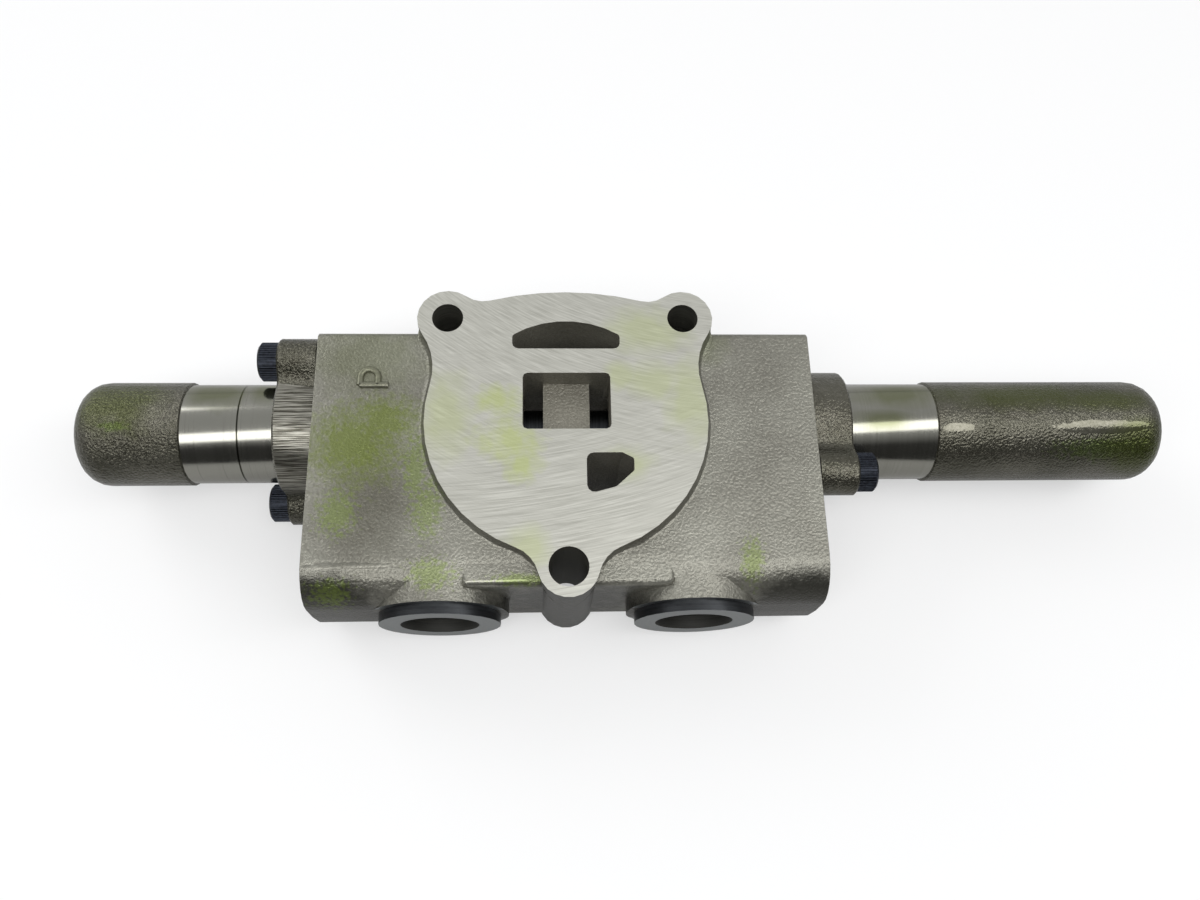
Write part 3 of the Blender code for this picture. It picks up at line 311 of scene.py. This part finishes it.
# Fine turned iron: a bright band along the neck, broken on the short cap by one dark line round it.
shortNeck = straightMarkFinish("turnedIronNeckLined", neckPull, {
    **neckLook, "dark": "#35342c", "markRange": (0.05, 0.4), "lineAt": -104.2, "lineEdge": (0.15, 0.4)})
longNeck = straightMarkFinish("turnedIronNeck", neckPull, neckLook)
# Shaped iron: coarse bright and dark strokes along the spool, across the rim of the short cap's flange.
rimLook = {"light": "#9c9a90", "dark": "#4a483f", "markRange": (0.42, 0.62), "rough": (0.24, 0.38),
           "bump": 0.9, "depth": 0.12, "metallic": 0.8, "stainsAndShade": []}
shapedRim = straightMarkFinish("shapedIronRim", (110, 2600, 2600), rimLook)
# Milled iron: faint upright strokes on the casting's ends and the flanges' faces.
milledEnd = straightMarkFinish("milledIronEnd", (40, 700, 120), {
    **rimLook, "light": "#8a887c", "dark": "#6d6b60", "bump": 0.3, "depth": 0.03})
# Drilled and bored iron: dull and dark, with feed marks round the hole.
boredLook = {"light": "#77766d", "dark": "#4a4942", "markRange": (0.3, 0.7), "rough": (0.34, 0.5),
             "bump": 0.4, "depth": 0.03, "metallic": 0.6, "stainsAndShade": []}
drilledHole = straightMarkFinish("drilledIronHole", (60, 60, 1500), boredLook)
boredIron = straightMarkFinish("boredIron", (1500, 60, 60), {
    **boredLook, "light": "#55544c", "dark": "#33322c"})
# Ground hardened steel: smooth, with hardly any marks, its colour darkened to near black as painted shade
# where the spool shows deep in the core.
shadedGroundSpool = straightMarkFinish("groundHardenedSteelPaintedShade", (2200, 40, 40), {
    **boredLook, "light": "#404245", "dark": "#2b2d2f", "rough": (0.34, 0.46), "bump": 0.2, "metallic": 1.0})
# Drawn wire: grey with small dark flecks.
drawnWire = straightMarkFinish("drawnSpringWire", (700, 700, 700), {
    **boredLook, "light": "#6d6e72", "dark": "#3f4045", "rough": (0.25, 0.4), "metallic": 1.0})
# Black oxide: near black with a blue cast and a soft sheen.
blackOxide = straightMarkFinish("blackOxideSteel", (900, 900, 900), {
    **boredLook, "light": "#31353d", "dark": "#191b20", "rough": (0.3, 0.42), "metallic": 0.85})
# Nitrile rubber: matt black.
nitrile = straightMarkFinish("nitrileRubber", (500, 500, 500), {
    **boredLook, "light": "#26272a", "dark": "#17181a", "rough": (0.45, 0.6), "metallic": 0.0})
print("materials made:", len(bpy.data.materials))


# Replaces an object's mesh by what its modifiers make of it, as a plain mesh.
def settle(piece):
    bpy.context.view_layer.update()
    evaluated = piece.evaluated_get(bpy.context.evaluated_depsgraph_get())
    mesh = bpy.data.meshes.new_from_object(evaluated)
    piece.modifiers.clear()
    piece.data = mesh
    mesh.name = piece.name
    return piece


def addPiece(name, mesh):
    piece = bpy.data.objects.new(name, mesh)
    bpy.context.scene.collection.objects.link(piece)
    return piece


def standFor(piece, node):
    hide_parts(node)
    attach(piece, bodyOf[node])


# A block between two corners, in mm, its edges rounded.
def makeBlock(name, low, high, bevel=0):
    form = bmesh.new()
    middle = Matrix.Translation((Vector(low) + Vector(high)) / 2 * mm)
    spread = Matrix.Diagonal((*(Vector(high) - Vector(low)) * mm, 1))
    bmesh.ops.create_cube(form, size=1, matrix=middle @ spread)
    if bevel:
        bmesh.ops.bevel(form, geom=form.edges[:], offset=bevel * mm, segments=3, affect="EDGES", profile=0.5)
    mesh = bpy.data.meshes.new(name)
    form.to_mesh(mesh)
    form.free()
    return addPiece(name, mesh)


def makeRod(name, radius, length, place, steps=48):
    form = bmesh.new()
    bmesh.ops.create_cone(form, cap_ends=True, segments=steps, radius1=radius * mm, radius2=radius * mm,
                          depth=length * mm, matrix=place)
    mesh = bpy.data.meshes.new(name)
    form.to_mesh(mesh)
    form.free()
    return addPiece(name, mesh)


# Joins tools to a piece or cuts them out of it, and removes them.
def reshape(piece, operation, *tools):
    for tool in tools:
        boolean = piece.modifiers.new(tool.name, "BOOLEAN")
        boolean.operation = operation
        boolean.solver = "EXACT"
        boolean.object = tool
    settle(piece)
    for tool in tools:
        bpy.data.objects.remove(tool)
    return piece


# A CAD node's mesh copied with its loose triangles merged.
def mergedCopy(node, name):
    form = bmesh.new()
    form.from_mesh(frame["nodes"][node].data)
    bmesh.ops.remove_doubles(form, verts=form.verts, dist=0.002 * mm)
    bmesh.ops.recalc_face_normals(form, faces=form.faces)
    mesh = bpy.data.meshes.new(name)
    form.to_mesh(mesh)
    form.free()
    return addPiece(name, mesh)


# Smooth shading with hard edges kept. choose(x, y, z, normal), in mm, gives a face's place in finishes.
def dress(piece, finishes, choose=lambda x, y, z, normal: 0, sharpAngle=32):
    piece.data.materials.clear()
    for finish in finishes:
        piece.data.materials.append(finish)
    form = bmesh.new()
    form.from_mesh(piece.data)
    form.normal_update()
    for face in form.faces:
        face.smooth = True
        face.material_index = choose(*(face.calc_center_median() / mm), face.normal)
    for edge in form.edges:
        edge.smooth = len(edge.link_faces) == 2 and edge.calc_face_angle() < math.radians(sharpAngle)
    form.to_mesh(piece.data)
    form.free()
    weighting = piece.modifiers.new("Weighted normals", "WEIGHTED_NORMAL")
    weighting.keep_sharp = True
    return settle(piece)


# Body casting: ground pads, turned port rings, drilled and cored passages, cast skin elsewhere
bodyZones = {
    "tieHoles": [(-38.1, 30.3, 5.0), (38.1, 30.3, 5.0), (0, -52, 6.1)], "portDepth": -20, "ringFoot": -61.1,
    "ringRadius": 19.0, "bossRadius": 21.5, "threadRadius": 12.4, "padTop": 49.9,
    "padFoot": 0.1, "endX": 79.6, "boreRadius": 11.4, "coreX": 21, "coreFront": -31.3, "coreBack": 29.5,
}


def bodyFinish(x, y, z, normal):
    if (z > bodyZones["padTop"] and normal.z > 0.9) or (z < bodyZones["padFoot"] and normal.z < -0.9):
        return 1
    fromPort = math.hypot(abs(x) - portX, z - axisHeight)
    inPort = y < bodyZones["portDepth"] and fromPort < bodyZones["threadRadius"]
    if inPort and abs(normal.y) < 0.95:
        return 4
    if y < bodyZones["ringFoot"] - 0.1 and fromPort < bodyZones["ringRadius"] + 0.1:
        onWall = abs(normal.y) < 0.3 and fromPort > bodyZones["threadRadius"] + 2
        return 3 if onWall else 2
    if inPort:
        return 4
    if abs(y - bodyZones["ringFoot"]) < 0.1 and fromPort < bodyZones["bossRadius"]:
        return 2
    if abs(x) > bodyZones["endX"] and abs(normal.x) > 0.9:
        return 5
    for holeX, holeY, radius in bodyZones["tieHoles"]:
        if math.hypot(x - holeX, y - holeY) < radius + 0.1:
            return 6
    if math.hypot(y, z - axisHeight) < bodyZones["boreRadius"] and abs(x) > bodyZones["coreX"]:
        return 7
    if abs(x) < bodyZones["coreX"] and bodyZones["coreFront"] < y < bodyZones["coreBack"]:
        return 8
    return 0


# The wall between the work ports is set back behind the port bosses, and the bridge has a flat saddle.
frontLook = {"half": 32.0, "face": -57.0, "root": -36.0, "low": 3.3, "high": 46.7, "edge": 2.0, "past": -70.0,
             "column": (0, -52, 9.3)}
saddleLook = {"half": 7.5, "front": -9.0, "back": 11.7, "low": 36.5, "high": 40.9}


def clearance(look, zones):
    side = look["half"]
    room = makeBlock("frontRoom", (-side, look["past"], -1), (side, look["face"] + 0.4, 2 * axisHeight + 1))
    x, y, radius = look["column"]
    column = makeRod("tieColumn", radius, 120, Matrix.Translation((x * mm, y * mm, axisHeight * mm)))
    bosses = []
    for sign in (-1, 1):
        home = Matrix.Translation((sign * portX * mm, look["root"] * mm, axisHeight * mm))
        home = home @ Matrix.Rotation(math.radians(90), 4, "X")
        bosses.append(makeRod("boss", zones["bossRadius"], 100, home))
    return reshape(room, "DIFFERENCE", column, *bosses)


bodyPiece = mergedCopy("valve_body", "bodyCasting")
reshape(bodyPiece, "DIFFERENCE", clearance(frontLook, bodyZones))
wall = makeBlock("frontWall", (-frontLook["half"], frontLook["face"], frontLook["low"]),
                 (frontLook["half"], frontLook["root"], frontLook["high"]), frontLook["edge"])
holeX, holeY, holeRadius = bodyZones["tieHoles"][2]
holePlace = Matrix.Translation((holeX * mm, holeY * mm, axisHeight * mm))
reshape(wall, "DIFFERENCE", makeRod("tieHole", holeRadius, 120, holePlace, 32))
saddle = makeBlock("bridgeSaddle", (-saddleLook["half"], saddleLook["front"], saddleLook["low"]),
                   (saddleLook["half"], saddleLook["back"], saddleLook["high"]))
reshape(bodyPiece, "UNION", wall, saddle)
bodyFinishes = [sandCastBody, groundIron, turnedPort, shadedRingWall, shadedThreadCut, milledEnd, drilledHole, boredIron,
                coreCast]
dress(bodyPiece, bodyFinishes, bodyFinish)
standFor(bodyPiece, "valve_body")
print("body casting:", len(bodyPiece.data.polygons), "faces")


# Pilot caps: shaped rim, turned neck with a fine line, cast barrel
capZones = {"flangeOuter": 92.7, "neckEnd": 122.0, "rimRadius": 20.4, "innerRadius": 13.1, "innerEnd": 141.5,
            "portRadius": 8.6, "portFrom": 141}


def capFinish(x, y, z, normal):
    reach = abs(x)
    radius = math.hypot(y, z - axisHeight)
    inChamber = radius < capZones["innerRadius"] and reach < capZones["innerEnd"]
    if inChamber or (radius < capZones["portRadius"] and reach > capZones["portFrom"]):
        return 4
    if reach < capZones["flangeOuter"]:
        if abs(normal.x) > 0.9:
            return 3
        return 1 if radius < capZones["rimRadius"] else 0
    if reach < capZones["neckEnd"] - 0.1:
        return 2
    return 0


for node, name, skin, rim, neck in (
        ("short_cap", "shortPilotCap", sandCastShortCap, shapedRim, shortNeck),
        ("long_cap", "longPilotCap", sandCastCap, sandCastCap, longNeck)):
    standFor(dress(mergedCopy(node, name), [skin, rim, neck, milledEnd, boredIron], capFinish), node)
for node, name in (("spool", "controlSpool"), ("left_spring_seat", "leftSpringSeat"),
                   ("right_spring_seat", "rightSpringSeat"), ("check_poppet", "loadCheckPoppet")):
    standFor(dress(mergedCopy(node, name), [shadedGroundSpool]), node)
for node in ("short_cap_oring", "long_cap_oring", "left_spool_seal", "right_spool_seal", "tank_core_seal",
             "open_core_seal", "pressure_core_seal", "check_bore_seal"):
    standFor(dress(mergedCopy(node, node + "_rubber"), [nitrile], sharpAngle=80), node)
print("caps, spool, seats and seals made")


def openTree(name, sizes):
    tree = bpy.data.node_groups.new(name, "GeometryNodeTree")
    tree.interface.new_socket("Geometry", in_out="INPUT", socket_type="NodeSocketGeometry")
    for label, kind in sizes:
        tree.interface.new_socket(label, in_out="INPUT", socket_type="NodeSocket" + kind)
    tree.interface.new_socket("Geometry", in_out="OUTPUT", socket_type="NodeSocketGeometry")
    return tree, addNode(tree, "NodeGroupInput").outputs


def closeTree(tree, geometry, material):
    real = addNode(tree, "GeometryNodeRealizeInstances", {0: geometry})
    dressed = addNode(tree, "GeometryNodeSetMaterial", {"Geometry": real.outputs[0], "Material": material})
    addNode(tree, "NodeGroupOutput", {0: dressed.outputs[0]})


# Runs a tree on a piece, then leaves a plain mesh moved to its place.
def runTree(piece, tree, sizes, place):
    modifier = piece.modifiers.new(tree.name, "NODES")
    modifier.node_group = tree
    for socket in tree.interface.items_tree:
        if socket.in_out == "INPUT" and socket.name in sizes:
            modifier[socket.identifier] = sizes[socket.name]
    settle(piece)
    piece.data.transform(place)
    return piece


# A coil with one closed turn at each end; with three sides it cuts a thread.
def coilTree():
    tree, given = openTree("coil", [("Coil radius", "Float"), ("Wire radius", "Float"), ("Start", "Float"),
                                    ("Closed pitch", "Float"), ("Pitch", "Float"), ("Turns", "Float"),
                                    ("Steps", "Int"), ("Sides", "Int"), ("Material", "Material")])
    total = addNode(tree, "ShaderNodeMath", {0: given["Turns"], 1: 2.0}, operation="ADD").outputs[0]
    path = addNode(tree, "GeometryNodeCurveSpiral", {
        "Resolution": given["Steps"], "Rotations": total, "Start Radius": given["Coil radius"],
        "End Radius": given["Coil radius"], "Height": 0.0})
    along = addNode(tree, "GeometryNodeSplineParameter").outputs["Factor"]
    turned = addNode(tree, "ShaderNodeMath", {0: along, 1: total}, operation="MULTIPLY").outputs[0]
    first = addNode(tree, "ShaderNodeClamp", {"Value": turned, "Min": 0.0, "Max": 1.0}).outputs[0]
    past = addNode(tree, "ShaderNodeMath", {0: turned, 1: 1.0}, operation="SUBTRACT").outputs[0]
    between = addNode(tree, "ShaderNodeClamp", {"Value": past, "Min": 0.0, "Max": given["Turns"]}).outputs[0]
    left = addNode(tree, "ShaderNodeMath", {0: past, 1: given["Turns"]}, operation="SUBTRACT").outputs[0]
    last = addNode(tree, "ShaderNodeClamp", {"Value": left, "Min": 0.0, "Max": 1.0}).outputs[0]
    ends = addNode(tree, "ShaderNodeMath", {0: first, 1: last}, operation="ADD").outputs[0]
    rise = addNode(tree, "ShaderNodeMath", {0: ends, 1: given["Closed pitch"], 2: given["Start"]},
                   operation="MULTIPLY_ADD").outputs[0]
    rise = addNode(tree, "ShaderNodeMath", {0: between, 1: given["Pitch"], 2: rise},
                   operation="MULTIPLY_ADD").outputs[0]
    lift = addNode(tree, "ShaderNodeCombineXYZ", {"Z": rise})
    raised = addNode(tree, "GeometryNodeSetPosition", {"Geometry": path.outputs[0],
                                                       "Offset": lift.outputs[0]})
    upright = addNode(tree, "GeometryNodeSetCurveNormal", {"Curve": raised.outputs[0]}, mode="Z_UP")
    section = addNode(tree, "GeometryNodeCurvePrimitiveCircle", {
        "Resolution": given["Sides"], "Radius": given["Wire radius"]}, mode="RADIUS")
    tube = addNode(tree, "GeometryNodeCurveToMesh", {
        "Curve": upright.outputs[0], "Profile Curve": section.outputs[0], "Fill Caps": True})
    closeTree(tree, tube.outputs[0], given["Material"])
    return tree


coil = coilTree()
alongX = Matrix.Translation((0, 0, axisHeight * mm)) @ Matrix.Rotation(math.radians(90), 4, "Y")
againstX = Matrix.Translation((0, 0, axisHeight * mm)) @ Matrix.Rotation(math.radians(-90), 4, "Y")


def makeCoil(name, look, place, material):
    sizes = {"Coil radius": look["radius"] * mm, "Wire radius": look["wire"] * mm, "Start": look["low"] * mm,
             "Closed pitch": look["closed"] * mm, "Turns": float(look["turns"]), "Steps": look["steps"],
             "Sides": look["sides"], "Material": material}
    sizes["Pitch"] = (look["high"] - look["low"] - 2 * look["closed"]) / look["turns"] * mm
    piece = runTree(addPiece(name, bpy.data.meshes.new(name)), coil, sizes, place)
    for face in piece.data.polygons:
        face.use_smooth = look["sides"] > 4
    return piece


springLook = {"radius": 9.3, "wire": 1.15, "closed": 2.5, "steps": 40, "sides": 14}
# The last number is a spring's length at its joint's limit as a share of its length at rest.
springs = [
    ("left_centering_spring", "leftCentringSpring", {"low": 84.45, "high": 139.95, "turns": 5},
     againstX, "spool_shift_left", (1, 0, 0), (-0.1411, 0, 0.025), 0.862),
    ("right_centering_spring", "rightCentringSpring", {"low": 84.45, "high": 184.25, "turns": 7},
     alongX, "right_seat_shift", (1, 0, 0), (0.1854, 0, 0.025), 0.922),
    ("check_spring", "loadCheckSpring",
     {"radius": 4.2, "wire": 0.4, "closed": 1.0, "low": 0.7, "high": 19.17, "turns": 3},
     Matrix.Translation((-0.013, -0.0245, 0)), "check_lift", (0, 0, 1), (-0.013, -0.0245, 0.0003), 0.818),
]
for node, name, look, place, joint, axis, anchor, keep in springs:
    spring = makeCoil(name, {**springLook, **look}, place, drawnWire)
    standFor(spring, node)
    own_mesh(spring)

threadLook = {"closed": 1.81, "steps": 48, "sides": 3, "radius": 10.75, "wire": 0.75, "low": 46.6,
              "high": 61.2, "turns": 6}
for name, side in (("leftPortThread", -1), ("rightPortThread", 1)):
    home = Matrix.Translation((side * portX * mm, 0, axisHeight * mm))
    thread = makeCoil(name, threadLook, home @ Matrix.Rotation(math.radians(90), 4, "X"), shadedThreadCut)
    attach(thread, "section")
pilotThread = {"closed": 1.27, "steps": 36, "sides": 3, "radius": 5.4, "wire": 0.5}
for name, look, place in (
        ("leftPilotThread", {**pilotThread, "low": 146.8, "high": 155.0, "turns": 4.5}, againstX),
        ("rightPilotThread", {**pilotThread, "low": 191.1, "high": 199.3, "turns": 4.5}, alongX)):
    thread = makeCoil(name, look, place, shadedThreadCut)
    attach(thread, "section")
print("springs and threads made")


# Straight knurl round a socket head: ridges set round a ring and joined to the screw.
def knurlTree():
    tree, given = openTree("knurl", [("Head radius", "Float"), ("Ridge radius", "Float"),
                                     ("Ridge length", "Float"), ("Ridge middle", "Float"),
                                     ("Ridges", "Int"), ("Material", "Material")])
    ring = addNode(tree, "GeometryNodeMeshCircle", {"Vertices": given["Ridges"],
                                                    "Radius": given["Head radius"]})
    ridge = addNode(tree, "GeometryNodeMeshCylinder", {"Vertices": 8, "Radius": given["Ridge radius"],
                                                       "Depth": given["Ridge length"]})
    lift = addNode(tree, "ShaderNodeCombineXYZ", {"Z": given["Ridge middle"]})
    placed = addNode(tree, "GeometryNodeInstanceOnPoints", {"Points": ring.outputs[0],
                                                            "Instance": ridge.outputs[0]})
    raised = addNode(tree, "GeometryNodeTransform", {"Geometry": placed.outputs[0],
                                                     "Translation": lift.outputs[0]})
    joined = addNode(tree, "GeometryNodeJoinGeometry", {"Geometry": given["Geometry"]})
    tree.links.new(raised.outputs[0], joined.inputs[0])
    closeTree(tree, joined.outputs[0], given["Material"])
    return tree


knurl = knurlTree()
screwLook = {"headRadius": 6.1, "ridgeRadius": 0.25, "ridges": 44, "headLow": 91.4, "headHigh": 98.2,
             "aside": 19.5, "above": 14.5}
for node, side, level, place in (
        ("short_cap_screw_upper", 1, 1, againstX), ("short_cap_screw_lower", -1, -1, againstX),
        ("long_cap_screw_upper", -1, 1, alongX), ("long_cap_screw_lower", 1, -1, alongX)):
    screw = dress(mergedCopy(node, node.replace("_screw", "") + "SocketScrew"), [blackOxide])
    home = Matrix.Translation((0, side * screwLook["aside"] * mm, level * screwLook["above"] * mm)) @ place
    screw.data.transform(home.inverted())
    runTree(screw, knurl, {
        "Head radius": screwLook["headRadius"] * mm, "Ridge radius": screwLook["ridgeRadius"] * mm,
        "Ridge length": (screwLook["headHigh"] - screwLook["headLow"]) * mm,
        "Ridge middle": (screwLook["headHigh"] + screwLook["headLow"]) / 2 * mm,
        "Ridges": screwLook["ridges"], "Material": blackOxide}, home)
    standFor(screw, node)
print("knurled screws made")


# A plain raised letter P, a mark for the pressure side, cast on the left wing with its top towards -X
markLook = {"foot": -56.4, "base": 8.0, "stem": 8.9, "straight": 2.6, "bowl": 2.8, "stroke": 1.15,
            "rise": 1.1, "level": 46.95}


def raisedMark(look):
    top = look["stem"]
    curve = bpy.data.curves.new("raisedMark", "CURVE")
    curve.dimensions = "3D"
    curve.bevel_depth = look["stroke"]
    curve.bevel_resolution = 3
    curve.use_fill_caps = True
    bowl = [(0, top), (look["straight"], top)]
    for i in range(1, 12):
        turn = math.radians(90 - 180 * i / 12)
        bowl.append((look["straight"] + look["bowl"] * math.cos(turn),
                     top - look["bowl"] * (1 - math.sin(turn))))
    bowl += [(look["straight"], top - 2 * look["bowl"]), (0, top - 2 * look["bowl"])]
    for stroke in ([(0, 0), (0, top)], bowl):
        line = curve.splines.new("POLY")
        line.points.add(len(stroke) - 1)
        for point, (across, up) in zip(line.points, stroke):
            point.co = (look["foot"] - up, look["base"] + across, 0, 1)
    guide = addPiece("raisedMark", curve)
    bpy.context.view_layer.update()
    mesh = bpy.data.meshes.new_from_object(guide.evaluated_get(bpy.context.evaluated_depsgraph_get()))
    bpy.data.objects.remove(guide)
    squashed = Matrix.Diagonal((mm, mm, mm * look["rise"] / look["stroke"], 1))
    mesh.transform(Matrix.Translation((0, 0, look["level"] * mm)) @ squashed)
    for face in mesh.polygons:
        face.use_smooth = True
    mesh.materials.clear()
    mesh.materials.append(letterCast)
    return addPiece("pressureMark", mesh)


mark = raisedMark(markLook)
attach(mark, "section")
print("pressure mark made")


# Floor, light and camera. The room is dim in front, as in the photograph, and bright behind and above.
# Painted floor: pale and matt, with a glow that burns it out to white as in the photograph.
floorLook = {"glow": 0.46, "mirrored": 0.25, "colour": "#b4b4b4", "half": 60.0, "gap": 0.05}
floorMaterial, tree, shader, place = startMaterial("paintedPaleFloor")
shader.inputs["Base Color"].default_value = linear(floorLook["colour"])
shader.inputs["Roughness"].default_value = 0.9
shader.inputs["Specular IOR Level"].default_value = 0.1
seen = addNode(tree, "ShaderNodeLightPath")
glossy = addNode(tree, "ShaderNodeMath", {0: seen.outputs["Is Glossy Ray"], 1: floorLook["mirrored"],
                                          2: seen.outputs["Is Camera Ray"]}, operation="MULTIPLY_ADD")
direct = addNode(tree, "ShaderNodeMath", {0: glossy.outputs[0], 1: seen.outputs["Is Transmission Ray"]},
                 operation="ADD", use_clamp=True)
glow = addNode(tree, "ShaderNodeMath", {0: direct.outputs[0], 1: floorLook["glow"]}, operation="MULTIPLY")
white = addNode(tree, "ShaderNodeEmission", {"Color": (1, 1, 1, 1), "Strength": glow.outputs[0]})
both = addNode(tree, "ShaderNodeAddShader", {0: shader.outputs[0], 1: white.outputs[0]})
tree.links.new(both.outputs[0], tree.nodes["Material Output"].inputs["Surface"])
form = bmesh.new()
bmesh.ops.create_grid(form, x_segments=1, y_segments=1, size=floorLook["half"])
bmesh.ops.translate(form, verts=form.verts, vec=(0, 0, -floorLook["gap"] * mm))
floorMesh = bpy.data.meshes.new("floor")
form.to_mesh(floorMesh)
form.free()
floorMesh.materials.append(floorMaterial)
addPiece("floor", floorMesh)

roomLook = {
    "dim": (0.03, 0.03, 0.03, 1), "bright": (0.85, 0.86, 0.88, 1), "overhead": (0.72, 0.73, 0.74, 1),
    "backdrop": (0.9, 0.9, 0.9, 1), "dimToBright": (-0.75, 0.6), "wallToOverhead": (0.55, 0.97),
    "strength": 0.85,
}
world = bpy.data.worlds.new("paleRoom")
bpy.context.scene.world = world
world.use_nodes = True
tree = world.node_tree
sides = addNode(tree, "ShaderNodeSeparateXYZ", {0: addNode(tree, "ShaderNodeTexCoord").outputs["Generated"]})
shares = []
for axis, limits in (("Y", roomLook["dimToBright"]), ("Z", roomLook["wallToOverhead"])):
    share = addNode(tree, "ShaderNodeMapRange", {"Value": sides.outputs[axis], "From Min": limits[0],
                                                 "From Max": limits[1]}, interpolation_type="SMOOTHSTEP")
    shares.append(share.outputs["Result"])
around = blend(tree, shares[0], roomLook["dim"], roomLook["bright"])
sky = blend(tree, shares[1], around, roomLook["overhead"])
inView = addNode(tree, "ShaderNodeLightPath").outputs["Is Camera Ray"]
tree.links.new(blend(tree, inView, sky, roomLook["backdrop"]), tree.nodes["Background"].inputs["Color"])
tree.nodes["Background"].inputs["Strength"].default_value = roomLook["strength"]

lampLook = {
    "ceilingPanel": {"at": (0.1, -0.26, 0.95), "size": (2.2, 0.34), "watts": 10.0},
    "windowFill": {"at": (-0.9, 0.75, 0.75), "size": (0.7, 0.7), "watts": 5.0},
}
for name, look in lampLook.items():
    light = bpy.data.lights.new(name, "AREA")
    light.shape = "RECTANGLE"
    light.size, light.size_y = look["size"]
    light.energy = look["watts"]
    lamp = bpy.data.objects.new(name, light)
    bpy.context.scene.collection.objects.link(lamp)
    towards = Vector((0, 0, 0.03)) - Vector(look["at"])
    lamp.matrix_world = Matrix.Translation(look["at"]) @ towards.to_track_quat("-Z", "Y").to_matrix().to_4x4()

# The photograph's camera: its place in mm, its angles, and its focal length and picture width in pixels.
cameraLook = {"at": (-7.107, -122.341, 341.640), "tilt": 20.146, "yaw": 3.163, "roll": 0.263, "focal": 1005,
              "width": 1200}
lens = bpy.data.cameras.new("photoCamera")
lens.sensor_fit = "HORIZONTAL"
lens.sensor_width = 36
lens.lens = lens.sensor_width * cameraLook["focal"] / cameraLook["width"]
lens.clip_start = 0.01
camera = bpy.data.objects.new("photoCamera", lens)
bpy.context.scene.collection.objects.link(camera)
camera.matrix_world = (
    Matrix.Translation(Vector(cameraLook["at"]) * mm)
    @ Matrix.Rotation(math.radians(cameraLook["tilt"]), 4, "X")
    @ Matrix.Rotation(math.radians(-cameraLook["yaw"]), 4, "Y")
    @ Matrix.Rotation(math.radians(-cameraLook["roll"]), 4, "Z"))
bpy.context.scene.camera = camera
bpy.context.scene.view_settings.view_transform = "Standard"
print("floor, light and camera set")
